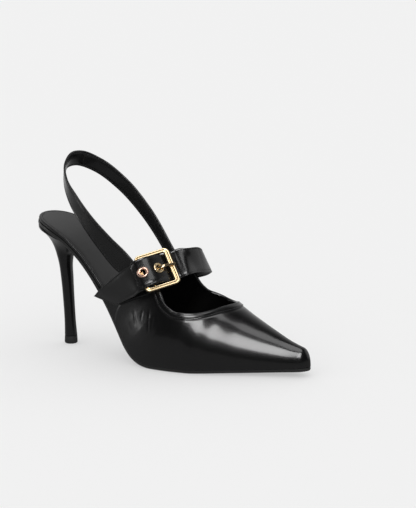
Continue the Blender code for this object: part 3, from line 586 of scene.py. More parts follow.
def steady_slopes(x, y):
    """Slopes that keep a curve through the points free of overshoot."""
    step = np.diff(x)
    rise = np.diff(y) / step
    slopes = np.zeros(len(x))
    slopes[0], slopes[-1] = rise[0], rise[-1]
    for k in range(1, len(x) - 1):
        if rise[k - 1] * rise[k] > 0:
            before = 2 * step[k] + step[k - 1]
            after = step[k] + 2 * step[k - 1]
            slopes[k] = (before + after) / (before / rise[k - 1] + after / rise[k])
    return slopes


def curve_at(x, y, slopes, at):
    at = np.clip(at, x[0], x[-1])
    k = np.clip(np.searchsorted(x, at, side="right") - 1, 0, len(x) - 2)
    step = x[k + 1] - x[k]
    t = (at - x[k]) / step
    start = (1 + 2 * t) * (1 - t) ** 2 * y[k] + t * (1 - t) ** 2 * step * slopes[k]
    end = t * t * (3 - 2 * t) * y[k + 1] + t * t * (t - 1) * step * slopes[k + 1]
    return start + end


def smooth(table, name, at):
    """The table's column as a smooth curve over its column at."""
    x, y = column(table, "at"), column(table, name)
    return curve_at(x, y, steady_slopes(x, y), np.asarray(at, float))


def curves_at(x, rows, slopes, at):
    """curve_at for each column of the rows."""
    return np.stack([curve_at(x, rows[:, k], slopes[:, k], at) for k in range(rows.shape[1])], axis=1)


def lengths(line, columns=3):
    """How far along the line each of its points lies."""
    return np.concatenate([[0.0], np.cumsum(np.linalg.norm(np.diff(line[:, :columns], axis=0), axis=1))])


def at_stops(line, reach, stops):
    """The line's columns at these stops of its reach."""
    return np.stack([np.interp(stops, reach, line[:, k]) for k in range(line.shape[1])], axis=-1)


def units(vectors):
    vectors = np.asarray(vectors, float)
    return vectors / np.linalg.norm(vectors, axis=-1, keepdims=True)


def round_angles(count):
    return np.linspace(0, 2 * math.pi, count, endpoint=False)


def spline(points):
    """LINE_SAMPLES points, evenly spaced, on a smooth curve through the given ones."""
    points = np.asarray(points, float)
    x = lengths(points, None)
    fine = np.linspace(0, x[-1], SPLINE_SAMPLES * len(points))
    dense = curves_at(x, points, np.gradient(points, x, axis=0), fine)
    reach = lengths(dense, None)
    return at_stops(dense, reach, np.linspace(0, reach[-1], LINE_SAMPLES))


def sole_line(at):
    """X and Z of the sole's underside on its centre line."""
    rise = smooth(PROFILE, "rise", at) * SEAT_HEIGHT
    spring = smooth(PROFILE, "spring", at) * TOE_SPRING
    return np.asarray(at, float) * LENGTH - HEEL_SETBACK, rise + spring


def over_sole(at, lift):
    """X and Z of the line that lies this far over the sole's underside, square to it."""
    step = 1e-3
    x, z = sole_line(at)
    x0, z0 = sole_line(np.asarray(at) - step)
    x1, z1 = sole_line(np.asarray(at) + step)
    long = x1 - x0
    long = np.where(np.abs(long) < 1e-9, 1e-9, long)
    size = np.hypot(long, z1 - z0)
    return x - lift * (z1 - z0) / size, z + lift * long / size


def sole_up(at):
    """The direction square to the sole."""
    x, z = over_sole(at, 0.0)
    x1, z1 = over_sole(at, 1.0)
    return np.stack([x1 - x, np.zeros_like(x), z1 - z], axis=-1)


def nose_share(at, radius):
    """How far a size has grown from nothing at the toe's tip to all of it one radius behind."""
    behind = np.clip((1 - np.asarray(at, float)) * LENGTH / radius, 0, 1)
    return np.sqrt(1 - (1 - behind) ** 2)


def half_width(at):
    width = smooth(OUTLINE, "seat", at) * SEAT_WIDTH + smooth(OUTLINE, "ball", at) * BALL_WIDTH
    ahead = np.clip(np.asarray(at, float) * LENGTH / HEEL_SETBACK, 0, 1)
    return width * np.sqrt(1 - (1 - ahead) ** 2) * nose_share(at, NOSE_ROUND)


def centre_line(at):
    return smooth(OUTLINE, "centre", at) * BALL_WIDTH


def last_point(at, turn, lift=SOLE + GAP):
    """A point of the last: turn goes from the outer feather edge, 0, over the crest to the inner one, 1."""
    at, turn = np.broadcast_arrays(np.asarray(at, float), np.asarray(turn, float))
    half = half_width(at)
    back = np.clip((at - TOE_FROM_SHARE) / (1 - TOE_FROM_SHARE), 0, 1) ** 2 * TOE_INSET / LENGTH
    inset = np.minimum(WALL - OVERHANG, 0.5 * half)
    half = half - inset
    high = smooth(LAST, "high", at) * THROAT_HEIGHT * nose_share(at, NOSE_HEIGHT_ROUND)
    lean = np.radians(smooth(LAST, "lean", at))
    bulge = smooth(LAST, "bulge", at) * half
    shoulder = smooth(LAST, "shoulder", at) * half
    crest = smooth(LAST, "ridge", at) * half
    side = np.where(turn < 0.5, -1.0, 1.0)
    t = np.where(turn < 0.5, 2 * turn, 2 * (1 - turn))
    across = (
        (1 - t) ** 3 * side * half
        + 3 * t * (1 - t) ** 2 * side * (half + bulge)
        + 3 * t * t * (1 - t) * (crest + side * shoulder)
        + t**3 * crest
    )
    up = high * (3 * t * (1 - t) ** 2 * 0.5 + 3 * t * t * (1 - t) + t**3)
    x, z = over_sole(at - back, lift)
    return np.stack([x + up * np.sin(lean), centre_line(at) + across, z + up * np.cos(lean)], axis=-1)


def grid_normals(grid):
    return units(-np.cross(np.gradient(grid, axis=0), np.gradient(grid, axis=1)))


def grid_faces(grid):
    """Faces between neighbouring rows and columns of a grid of point numbers."""
    corners = (grid[:-1, :-1], grid[:-1, 1:], grid[1:, 1:], grid[1:, :-1])
    return np.stack(corners, axis=-1).reshape(-1, 4).tolist()


def ring_faces(rows, columns, joined=False):
    """Faces of a tube of rings, joined end to end or capped."""
    grid = np.arange(rows * columns).reshape(rows, columns)
    caps = [] if joined else [grid[0].tolist(), grid[-1].tolist()]
    grid = np.column_stack([grid, grid[:, :1]])
    return grid_faces(np.vstack([grid, grid[:1]]) if joined else grid) + caps


def end_spacing(first, last, count):
    """Places that crowd towards both ends."""
    ends = np.array([0.15, 0.5]) / count
    share = np.concatenate([ends, np.arange(1, count) / count, 1 - ends[::-1]])
    return first + (last - first) * 0.5 * (share + 0.5 * (1 - np.cos(math.pi * share)))


def oval(centre, long, wide, squareness_front=1.0):
    """A ring of points round an oval in plan, its front half squarer if asked."""
    x, y = np.cos(round_angles(HEEL_SIDES)), np.sin(round_angles(HEEL_SIDES))
    power = np.where(x > 0, squareness_front, 1.0)
    along, across = np.sign(x) * np.abs(x) ** power, np.sign(y) * np.abs(y) ** power
    return np.stack([centre + long * along, wide * across], axis=1)


def level_ring(level, *shape):
    return np.column_stack([oval(*shape), np.full(HEEL_SIDES, level)])


def width_direction(lean, tuck, side):
    lean, tuck = math.radians(lean), math.radians(tuck)
    level = math.cos(tuck)
    return np.array([math.sin(lean) * level, -side * math.sin(tuck), math.cos(lean) * level])


def buckle_directions():
    """The buckle's own directions: along to its far bar, up its bars, and out of its plane."""
    yaw, pitch, roll = (math.radians(angle) for angle in (BUCKLE_YAW, BUCKLE_PITCH, BUCKLE_ROLL))
    along = np.array([math.cos(pitch) * math.cos(yaw), math.cos(pitch) * math.sin(yaw), math.sin(pitch)])
    level_up = units(np.array([0.0, 0.0, 1.0]) - along * along[2])
    up = math.cos(roll) * level_up - math.sin(roll) * np.cross(along, level_up)
    return along, up, np.cross(along, up)


def buckle_points(along, up, out):
    """Places given in the buckle's own directions, in metres from its middle."""
    middle = np.array(BUCKLE_PLACE_SHARES) * (LENGTH, BALL_WIDTH, SEAT_HEIGHT)
    directions = buckle_directions()
    values = np.broadcast_arrays(along, up, out)
    return middle + sum(np.asarray(v, float)[..., None] * d for v, d in zip(values, directions))


def free_rows(table, width):
    """Middles and half-width vectors of a strap's free rows."""
    rows = []
    for long, side, level, lean, tuck, wide in table[1:]:
        at = long + HEEL_SETBACK / LENGTH
        half = width_direction(lean, tuck, 1 if side > 0 else -1) * wide * width / 2
        rows.append((long * LENGTH, centre_line(at) + side * half_width(at), level * SEAT_HEIGHT, *half))
    return np.array(rows)


def rows_at_buckle(along, out, width):
    middles = buckle_points(along, BELT_SHIFT, out)
    half = buckle_directions()[1] * width / 2
    return np.concatenate([middles, np.broadcast_to(half, middles.shape)], axis=1)


def instep_line():
    """The instep strap from the inner side to its free end."""
    along, out = np.array(INSTEP_AT_BUCKLE[1:]).T
    fastened = rows_at_buckle(along * BUCKLE_LONG, out * INSTEP_RISE, STRAP_WIDTH)
    return spline(np.concatenate([free_rows(INSTEP_ROWS, STRAP_WIDTH), fastened]))


def base_line():
    """The base strap from its tail under the hinge bar, round the bar and down to the feather edge."""
    angles = np.radians(np.linspace(*FOLD_TURNS, FOLD_STEPS))
    loop = np.stack([np.cos(angles), np.sin(angles)], axis=1)
    along, out = np.concatenate([TAIL_AT_HINGE[1:], loop, BASE_AT_HINGE[1:]]).T
    folded = rows_at_buckle(HINGE + along * FOLD, out * FOLD, BASE_WIDTH)
    return spline(np.concatenate([folded, free_rows(BASE_ROWS, BASE_WIDTH)]))


def strap_place(dense, along):
    """Where on a strap's line, as a length, the place that far along the buckle lies."""
    reach = lengths(dense)
    here = (dense[:, :3] - buckle_points(0, 0, 0)) @ buckle_directions()[0]
    first = np.argmax(reach > BUCKLED_SHARE * reach[-1])
    return reach, reach[first + np.argmin(np.abs(here[first:] - along))]


def on_strap(dense, reach, place, along, across, out):
    """Points given along, across and out from a place on a strap, which follow its bend."""
    stops = place + np.asarray(along, float)
    heading = units(at_stops(np.gradient(dense[:, :3], reach, axis=0), reach, stops))
    side = buckle_directions()[1]
    normal = units(np.cross(side, heading))
    across, out = np.asarray(across)[..., None], np.asarray(out)[..., None]
    return at_stops(dense[:, :3], reach, stops) + across * side + out * normal


def step_up(x, place, width):
    """0 before the place and 1 after it, with a smooth rise this wide."""
    t = np.clip((np.asarray(x, float) - place) / width + 0.5, 0, 1)
    return t * t * (3 - 2 * t)


def dent(x, place, width):
    """1 at the place, and smoothly 0 from about one width off."""
    return np.exp(-(((np.asarray(x, float) - place) / width) ** 2))


def closed_mesh(name, points, faces):
    """A mesh whose faces all look outward."""
    mesh = bpy.data.meshes.new(name)
    mesh.from_pydata(np.asarray(points, float).tolist(), [], [tuple(map(int, face)) for face in faces])
    shape = bmesh.new()
    shape.from_mesh(mesh)
    bmesh.ops.recalc_face_normals(shape, faces=shape.faces)
    shape.to_mesh(mesh)
    shape.free()
    return mesh


def add_object(name, data):
    obj = bpy.data.objects.new(name, data)
    bpy.context.scene.collection.objects.link(obj)
    return obj


def piece(name, points, faces, material, stands_for=(), sharp=SHARP):
    """A closed mesh piece that rides on the shoe."""
    mesh = closed_mesh(name, points, faces)
    mesh.shade_smooth()
    mesh.set_sharp_from_angle(angle=math.radians(sharp))
    mesh.materials.append(material)
    obj = add_object(name, mesh)
    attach(obj, "root")
    for node in stands_for:
        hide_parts(node)
    return obj


def tube(name, rings, material, stands_for=(), joined=False, sharp=SHARP):
    rings = np.asarray(rings, float)
    faces = ring_faces(*rings.shape[:2], joined)
    return piece(name, rings.reshape(-1, 3), faces, material, stands_for, sharp)


# Upper


def soft_weights(count):
    """Weights of a moving mean over so many rows."""
    weights = np.hanning(count + 2)[1:-1]
    return weights / weights.sum()


def strip_rows():
    """The strips' feet, tops and turns, finely spaced, and finer at seams, creases and the inner corner."""
    rows = np.array(STRIPS[1:])
    knots = np.arange(len(rows), dtype=float)
    slopes = np.gradient(rows, knots, axis=0)
    slopes[:, 0] = steady_slopes(knots, rows[:, 0])
    lines = curves_at(knots, rows, slopes, np.linspace(0, knots[-1], LINE_SAMPLES))
    for k in (1, 2):
        ends = np.pad(lines[:, k], TOPLINE_SOFT // 2, mode="reflect", reflect_type="odd")
        lines[:, k] = np.convolve(ends, soft_weights(TOPLINE_SOFT), mode="valid")
    low = last_point(np.minimum(lines[:, 0], 2 - lines[:, 0]), np.where(lines[:, 0] < 1, 0.0, 1.0))
    high = last_point(lines[:, 1], lines[:, 2])
    heading = np.unwrap(np.arctan2(*np.diff(low[:, :2], axis=0).T[::-1]))
    turned = np.abs(np.diff(heading, prepend=heading[0]))
    moved = sum(np.linalg.norm(np.diff(line, axis=0), axis=1) for line in (low, high))
    reach = np.concatenate([[0.0], np.cumsum(moved + TURN_WEIGHT * turned)])
    seams = [np.interp(ends, lines[:, 0], reach) for ends in SEAM_ENDS]
    chosen = [np.linspace(0, reach[-1], UPPER_ROWS)]
    for first, last in seams:
        chosen += [first + SEAM_ROWS, np.linspace(first, last, SEAM_FOOT_ROWS)]
    for ends in (CREASED, INNER_CORNER):
        chosen.append(np.linspace(*np.interp(ends, lines[:, 0], reach), CREASE_ROWS))
    chosen = np.sort(np.concatenate(chosen))
    chosen = chosen[np.concatenate([[True], np.diff(chosen) > LEAST_STEP])]
    return (*at_stops(lines, reach, chosen).T, chosen, seams)


def strip_stops(total, crowd):
    """Stops down a strip: fine at the rolled topline and at the collar's seam."""
    band = min(COLLAR_WIDTH, MOST_BAND_SHARE * total)
    inner = np.linspace(EDGE_STOPS[-1], band + BAND_STOPS[0], BAND_ROWS)[1:-1]
    rest = total - (total - band - BAND_STOPS[-1]) * np.linspace(1, 0, UPPER_DOWN) ** crowd
    return np.concatenate([EDGE_STOPS, inner, band + BAND_STOPS[:-1], rest])


def last_normals(ats, turns):
    """Outward normals of the last."""
    ahead = last_point(ats + NORMAL_STEP, turns) - last_point(ats - NORMAL_STEP, turns)
    across = last_point(ats, turns + NORMAL_STEP) - last_point(ats, turns - NORMAL_STEP)
    normal = np.cross(across, ahead)
    return normal / np.maximum(np.linalg.norm(normal, axis=1, keepdims=True), 1e-12)


def strip_points(foot, top_at, top_turn):
    """Points of one strip from the topline down to the feather edge, and how far each is from the topline."""
    start = 0.0 if foot < 1 else 1.0
    at_foot = min(foot, 2 - foot)
    power = min(1.0, math.sqrt(max(1 - at_foot, 0) / FULL_TURN_SHARE))
    s = np.linspace(0, 1, STRIP_SAMPLES) ** STRIP_POWER
    turns = start + (top_turn - start) * (s**power if power > 0 else np.ones_like(s))
    shares = at_foot + (top_at - at_foot) * s
    line = np.concatenate([last_point(shares, turns), last_normals(shares, turns)], axis=1)[::-1]
    total = lengths(line)[-1]
    crowd = 1 + TOE_CROWD * min(max((at_foot - TOE_CROWD_FROM_SHARE) / TOE_CROWD_OVER_SHARE, 0), 1)
    stops = strip_stops(total, crowd)
    return at_stops(line, lengths(line), stops), stops


def make_upper(material):
    """The upper: rolled topline, proud collar band, vamp laid over the quarters and the creases of wear."""
    feet, ats, turns, places, seams = strip_rows()
    made = [strip_points(*values) for values in zip(feet, ats, turns)]
    inner = np.stack([points[:, :3] for points, _ in made])
    stops = np.stack([stops for _, stops in made])
    shares = np.minimum(feet, 2 - feet)
    toe = step_up(shares, TOE_NORMALS_SHARE, EASED_OVER)[:, None, None]
    drawn, exact = grid_normals(inner), np.stack([points[:, 3:] for points, _ in made])
    exact *= np.sign((drawn * exact).sum())
    normals = units(toe * drawn + (1 - toe) * exact)
    first, last = (step_up(feet, end, EASED_OVER) for end in INNER_CORNER)
    for grid in (inner, normals):
        ends = np.pad(grid, ((CORNER_SOFT // 2,) * 2, (0, 0), (0, 0)), mode="edge")
        mean = sum(share * ends[k : k + len(grid)] for k, share in enumerate(soft_weights(CORNER_SOFT)))
        grid += (first * (1 - last))[:, None, None] * (mean - grid)
    normals = units(normals)
    up = sole_up(shares)
    normals[:, -1] = units(normals[:, -1] - (normals[:, -1] * up).sum(axis=1)[:, None] * up)
    thick, band = wall_thickness(places, seams, stops)
    thick += creases_at(inner, feet, stops)
    roll = np.clip(stops / EDGE_ROLL, 0, 1)
    roll = ROLL_LEAST + (1 - ROLL_LEAST) * np.sqrt(1 - (1 - roll) ** 2)
    outer = inner + normals * (thick * (0.5 + 0.5 * roll))[..., None]
    inside = inner + normals * (thick * (0.5 - 0.5 * roll))[..., None]
    count = stops.size
    grid = np.arange(count).reshape(stops.shape)
    edge = np.concatenate([grid[0], grid[1:, -1], grid[-1, -2::-1], grid[-2:0:-1, 0]])
    faces = grid_faces(grid) + grid_faces(grid + count)
    faces += [(a, b, b + count, a + count) for a, b in zip(edge, np.roll(edge, -1))]
    points = np.concatenate([inside.reshape(-1, 3), outer.reshape(-1, 3)])
    piece("upper_leather", points, faces, material, ("upper",), UPPER_SHARP)
    return outer, normals, stops, band[:, 0]


def wall_thickness(places, seams, stops):
    """The wall's thickness with its collar band, vamp, seams and stitch grooves, and the band's width."""
    band = np.minimum(COLLAR_WIDTH, MOST_BAND_SHARE * stops[:, -1:])
    low = np.clip((stops / stops[:, -1:] - SEAM_BENDS_FROM) / (1 - SEAM_BENDS_FROM), 0, 1) ** SEAM_BEND_POWER
    seams = [end + (foot - end) * low for end, foot in seams]
    across = places[:, None]
    rise = SEAM_RISE * (1 + SEAM_FOOT_SOFTER * low)
    vamp = step_up(across, seams[0], rise) * (1 - step_up(across, seams[1], rise))
    thick = WALL + VAMP_STEP * vamp + COLLAR_STEP * (1 - step_up(stops, band - 0.5 * SEAM_RISE, SEAM_RISE))
    thick -= SEAM_DEEP * dent(stops, band + 0.5 * SEAM_RISE, SEAM_RISE)
    for place in seams:
        thick -= SEAM_DEEP * dent(across, place, rise) * step_up(stops, band, SEAM_RISE)
    for row in (COLLAR_STITCH, band - SEAM_STITCH):
        thick -= STITCH_DEEP * dent(stops, row, STITCH_SOFT)
    return thick, band


def on_upper(surface, drop):
    """The line on the upper's outer face this far below the topline, and its normals."""
    outer, normals, stops, _ = surface
    drop = np.broadcast_to(drop, (len(outer),))
    line = np.array([at_stops(points, stop, at) for points, stop, at in zip(outer, stops, drop)])
    out = np.array([at_stops(normal, stop, at) for normal, stop, at in zip(normals, stops, drop)])
    return line, units(out)


def creases_at(inner, feet, stops):
    """Height that the creases add to the wall."""
    height = np.zeros(inner.shape[:2])
    for foot_a, drop_a, foot_b, drop_b, width, deep in CREASES[1:]:
        rows = [(np.argmin(np.abs(feet - foot)), drop) for foot, drop in ((foot_a, drop_a), (foot_b, drop_b))]
        a, b = (at_stops(inner[row], stops[row], drop) for row, drop in rows)
        t = np.clip(((inner - a) @ (b - a)) / ((b - a) @ (b - a)), 0, 1)
        away = np.linalg.norm(inner - a - t[..., None] * (b - a), axis=-1)
        fade = np.sqrt(np.sin(np.pi * np.clip(t, CREASE_ENDS, 1 - CREASE_ENDS)))
        height += deep * fade * dent(away, 0, width)
    return height


# Plates that follow the sole


def plate(name, ats, halves, profile, material, stands_for):
    """A plate with one edge profile all round, of insets and lifts over the sole's underside."""
    count, middle = len(ats), centre_line(ats)
    left, right = (np.stack([ats * LENGTH, middle + side * halves], axis=1) for side in (-1, 1))
    ring = np.concatenate([left[::-1], right])
    ahead = np.roll(ring, -1, axis=0) - np.roll(ring, 1, axis=0)
    ahead[0], ahead[-1] = ring[1] - ring[0], ring[-1] - ring[-2]
    inward = units(np.stack([ahead[:, 1], -ahead[:, 0]], axis=1))
    room = MOST_INSET_SHARE * np.concatenate([halves[::-1], halves])
    rows = []
    for inset, lift in profile:
        moved = ring + inward * np.minimum(inset, room)[:, None]
        x, z = over_sole(moved[:, 0] / LENGTH, lift)
        rows.append(np.stack([x, moved[:, 1], z], axis=1))
    points = [np.concatenate(rows)]
    faces = ring_faces(len(rows), 2 * count)[:-2]
    share = np.linspace(0, 1, PLATE_ACROSS + 2)[1:-1, None]
    for row in (0, len(rows) - 1):
        first, second = rows[row][:count][::-1], rows[row][count:]
        fill = first[:, None] * (1 - share) + second[:, None] * share
        grid = np.empty((count, PLATE_ACROSS + 2), int)
        grid[:, 0] = 2 * count * row + np.arange(count)[::-1]
        grid[:, -1] = 2 * count * row + count + np.arange(count)
        grid[:, 1:-1] = sum(map(len, points)) + np.arange(count * PLATE_ACROSS).reshape(count, PLATE_ACROSS)
        points.append(fill.reshape(-1, 3))
        faces += grid_faces(grid) + [grid[0], grid[-1]]
    return piece(name, np.concatenate(points), faces, material, stands_for), rows


def make_outsole(material):
    ats = end_spacing(0.0, 1.0, PLATE_STEPS)
    plate("outsole_leather", ats, half_width(ats), OUTSOLE_EDGE, material, ("outsole",))


def make_insole(material):
    """The insole, and its stitch line with the directions square to it."""
    ats = end_spacing(0.0, 1.0, PLATE_STEPS)
    ats = ats[ats < INSOLE_END_SHARE]
    inside = half_width(ats) - (WALL - OVERHANG) - 2 * GAP
    share = np.clip((ats - INSOLE_NARROWS_FROM) / INSOLE_NARROWS_SHARE, 0, 1)
    halves = half_width(ats) * (1 - share) + inside * share
    profile = [(inset, SOLE + GAP + lift) for inset, lift in INSOLE_EDGE]
    _, rows = plate("insole_cover", ats, halves, profile, material, ("insole",))
    return rows[INSOLE_STITCHED], np.concatenate([sole_up(ats[::-1]), sole_up(ats)])


# Heel


def make_heel(material):
    back = HEEL_INSET - HEEL_SETBACK
    long = (HEEL_BREAST - back) / 2
    seat = oval(back + long, long, HEEL_SEAT_SHARE * SEAT_WIDTH, HEEL_SEAT_SQUARE)
    seat_x, seat_z = over_sole((seat[:, 0] + HEEL_SETBACK) / LENGTH, -GAP)
    top = np.stack([seat_x, seat[:, 1], seat_z], axis=1)
    levels = np.append(column(HEEL, "level") * SEAT_HEIGHT, TOP_PIECE + GAP)[::-1]
    shapes = np.array([*(row[1:] for row in HEEL[1:]), (0.0, 0.5, 0.5)])[::-1] * HEEL_TIP
    fine = np.linspace(levels[-1], levels[0], HEEL_RINGS)
    drawn = curves_at(levels, shapes, np.gradient(shapes, levels, axis=0), fine)
    stems = [level_ring(level, *shape) for level, shape in zip(fine, drawn)]
    edge = top - (0, 0, HEEL_EDGE)
    corner = HEEL_FLARE_SHARE * stems[0] + (1 - HEEL_FLARE_SHARE) * edge
    corner[:, 2] = edge[:, 2] - HEEL_DROP
    inset = np.array((back + long, 0, 0)) * HEEL_ROUND_SHARE + top * (1 - HEEL_ROUND_SHARE)
    inset[:, 2] = top[:, 2]
    rings = [inset, top - (0, 0, HEEL_ROUND), edge]
    for share in np.linspace(0, 1, HEEL_FLARE_STEPS)[1:-1]:
        rings.append((1 - share) ** 2 * edge + 2 * share * (1 - share) * corner + share**2 * stems[0])
    rings = np.stack([*rings, *stems, stems[-1] * (HEEL_TIP_SHARE, HEEL_TIP_SHARE, 1)])
    rings[-2, :, 2] += HEEL_ROUND
    away = np.minimum(round_angles(HEEL_SIDES), 2 * math.pi - round_angles(HEEL_SIDES))
    spokes = rings[:, :, :2] - rings[:, :, :2].mean(axis=1, keepdims=True)
    reach = np.linalg.norm(spokes, axis=-1, keepdims=True)
    trough = dent(away[None, :, None] * reach, 0, HEEL_SEAM_WIDE) * HEEL_SEAM_DEEP
    rings[:, :, :2] -= trough * spokes / np.maximum(reach, 1e-6)
    tube("heel_cover", rings, material, ("heel",))


def make_top_piece(material):
    halves = [(wide * HEEL_TIP / 2, level) for wide, level in TOP_PIECE_RINGS]
    rings = [level_ring(level, 0.0, half, half) for half, level in halves]
    tube("top_piece_rubber", rings, material, ("top_piece",))


# Straps


def by_bend(dense, step=STRAP_STEP, turn=STRAP_TURN):
    """The same line with points that crowd where it bends."""
    moves = np.diff(dense[:, :3], axis=0)
    size, heading = np.linalg.norm(moves, axis=1), units(moves)
    turned = np.degrees(np.arccos(np.clip((heading[1:] * heading[:-1]).sum(axis=1), -1, 1)))
    weight = size / step + np.concatenate([[0.0], turned]) / turn
    reach = np.concatenate([[0.0], np.cumsum(weight)])
    return at_stops(dense, reach, np.linspace(0, reach[-1], math.ceil(reach[-1]) + 1))


def make_strap(name, dense, thickness, material, node, ends, relief=None, fine=()):
    """A strap with rounded, edged sides, a stitch groove on both faces and rounded ends."""
    rows = by_bend(dense)
    reach = lengths(rows)
    total = reach[-1]
    stops = np.unique(np.concatenate([reach, END_STOPS, total - END_STOPS, fine]).round(7))
    rows = at_stops(rows, reach, stops)
    middle, side, wide = rows[:, :3], units(rows[:, 3:]), np.linalg.norm(rows[:, 3:], axis=1)
    out = units(np.cross(side, units(np.gradient(middle, lengths(rows), axis=0))))
    for away, radius in ((stops, ends[0]), (total - stops, ends[1])):
        if radius:
            near = np.clip(away / radius, 0, 1)
            wide = wide - radius + radius * np.sqrt(1 - (1 - near) ** 2)

    def lift(line, sign):
        height = thickness / 2 - STITCH_DEEP * dent(wide - np.abs(line), STRAP_STITCH, STITCH_SOFT)
        return sign * (height if relief is None else height + sign * relief(stops, line / wide))

    shares = np.linspace(-1, 1, STRAP_ACROSS + 2)[1:-1]
    face = [inward - wide for inward in STRAP_INWARD]
    face += [share * (wide - STRAP_INWARD[-1]) for share in shares]
    face += [wide - inward for inward in STRAP_INWARD[::-1]]
    left = [inward - wide for inward, _ in STRAP_EDGE]
    edge = [np.full(len(wide), share * thickness / 2) for _, share in STRAP_EDGE]
    across = left + face + [-line for line in left[::-1]] + face[::-1]
    height = edge + [lift(line, 1) for line in face] + edge[::-1] + [lift(line, -1) for line in face[::-1]]
    across, height = (np.stack(values, axis=1)[..., None] for values in (across, height))
    rings = middle[:, None] + across * side[:, None] + height * out[:, None]
    obj = tube(name, rings, material, (node,), sharp=STRAP_SHARP)
    return obj, (middle, side, wide, out, stops)


def cut(obj, points, faces):
    """Takes a closed shape out of a piece for good."""
    cutter = add_object("cutter", closed_mesh("cutter", points, faces))
    modifier = obj.modifiers.new("Cut", "BOOLEAN")
    modifier.operation = "DIFFERENCE"
    modifier.solver = "EXACT"
    modifier.object = cutter
    bpy.context.view_layer.update()
    made = bpy.data.meshes.new_from_object(obj.evaluated_get(bpy.context.evaluated_depsgraph_get()))
    obj.modifiers.clear()
    obj.data = made
    bpy.data.objects.remove(cutter)


def cut_hole(obj, dense, along, radius):
    run, rise = (radius * turn(round_angles(EYELET_SIDES)) for turn in (np.cos, np.sin))
    heights = [np.full(EYELET_SIDES, side * CUT_REACH) for side in (-1, 1)]
    rings = [on_strap(dense, *strap_place(dense, along), run, rise, height) for height in heights]
    cut(obj, np.concatenate(rings), ring_faces(2, EYELET_SIDES))


def cut_slot(obj):
    ring = HINGE_RADIUS + GAP + PRONG_THICK
    near, far = HINGE - ring - 2 * GAP, HINGE + ring + SLOT_AHEAD
    high = ring + SLOT_OVER
    corners = [
        buckle_points(along, up + BELT_SHIFT, out)
        for along in (near, far)
        for up in (-SLOT_WIDTH / 2, SLOT_WIDTH / 2)
        for out in (-high, high)
    ]
    faces = [(0, 1, 3, 2), (4, 5, 7, 6), (0, 1, 5, 4), (2, 3, 7, 6), (0, 2, 6, 4), (1, 3, 7, 5)]
    cut(obj, corners, faces)


# Stitches


def stitches(name, rows, material):
    """One piece of thread stitches: each row of it is a line, its normals and the stitch pitch."""
    points, faces = [], []
    stitch = ring_faces(len(STITCH_RINGS), len(THREAD_ANGLES))
    for line, normals, pitch in rows:
        reach = lengths(line)
        count = max(int(reach[-1] / pitch), 1)
        centres = (np.arange(count) + 0.5) * reach[-1] / count
        data = np.concatenate([line, normals], axis=1)
        place, before, after = (at_stops(data, reach, centres + share * pitch) for share in (0, -0.25, 0.25))
        ahead = units(after[:, :3] - before[:, :3])
        side = units(np.cross(units(place[:, 3:]), ahead))
        for middle, a, n, s in zip(place[:, :3], ahead, np.cross(ahead, side), side):
            faces += [[len(points) + k for k in face] for face in stitch]
            for along, size, lift in STITCH_RINGS:
                centre = middle + a * along * STITCH_SHARE * pitch / 2 + n * lift * THREAD
                for angle in THREAD_ANGLES:
                    points.append(centre + size * THREAD * (math.cos(angle) * s + math.sin(angle) * n))
    piece(name, points, faces, material, sharp=THREAD_SHARP)


def strap_line(rows, inward, face=1.0, first=0.0, last=0.0, thickness=STRAP):
    """The line on a strap this far in from an edge, positive for its upper one, and its normals."""
    middle, side, wide, out, stops = rows
    keep = (stops >= first) & (stops <= stops[-1] - last)
    across = np.sign(inward) * (wide - abs(inward))
    line = middle + side * across[:, None] + face * out * (thickness / 2 - STITCH_DEEP)
    return line[keep], face * out[keep]


def cross_line(rows, before_end, inward):
    """A line across a strap this far before its end, short of both edges, and its normals."""
    *columns, stops = rows
    row = at_stops(np.column_stack(columns), stops, stops[-1] - before_end)
    share = np.linspace(-1, 1, CROSS_POINTS)[:, None]
    line = row[:3] + row[3:6] * share * (row[6] - inward) + row[7:] * (STRAP / 2)
    return line, np.repeat(row[None, 7:], len(line), axis=0)


# Buckle


def rounded(section, radius, steps=3):
    """The same closed section with its corners rounded."""
    section = np.asarray(section, float)
    shares = np.linspace(0, 1, steps + 1)
    made = []
    for k, corner in enumerate(section):
        before, after = section[k - 1] - corner, section[(k + 1) % len(section)] - corner
        reach = min(radius, *(MOST_ROUND_SHARE * np.linalg.norm(side) for side in (before, after)))
        a, b = corner + units(before) * reach, corner + units(after) * reach
        made += [(1 - t) ** 2 * a + 2 * t * (1 - t) * corner + t * t * b for t in shares]
    return np.array(made)


def make_buckle_frame(material):
    across, out = rounded(np.array(FRAME_SECTION[1:]) * (BUCKLE_BAR, BUCKLE_DEPTH), FRAME_ROUND).T
    corner = BUCKLE_CORNER - BUCKLE_BAR / 2
    long, high = ((size - BUCKLE_BAR) / 2 - corner for size in (BUCKLE_LONG, BUCKLE_HIGH))
    rings = []
    for quarter, (sign_long, sign_high) in enumerate(((1, 1), (-1, 1), (-1, -1), (1, -1))):
        for turn in np.linspace(0, 90, CORNER_STEPS):
            angle = math.radians(90 * quarter + turn)
            reach = corner + across * (1 + FAR_BAR_SHARE * max(math.cos(angle), 0))
            along = sign_long * long + reach * math.cos(angle)
            rings.append(buckle_points(along, sign_high * high + reach * math.sin(angle), out))
    tube("buckle_frame_gold", rings, material, ("buckle_frame",), joined=True, sharp=FRAME_SHARP)


def make_buckle_bar(material):
    half = BUCKLE_HIGH / 2 - BUCKLE_BAR - GAP
    along, out = (HINGE_RADIUS * turn(round_angles(BAR_SIDES)) for turn in (np.cos, np.sin))
    levels, sizes = (-half, BAR_BEVEL - half, half - BAR_BEVEL, half), (BAR_END_SHARE, 1, 1, BAR_END_SHARE)
    rings = [buckle_points(HINGE + size * along, up, size * out) for up, size in zip(levels, sizes)]
    tube("buckle_bar_gold", rings, material, ("buckle_bar",))


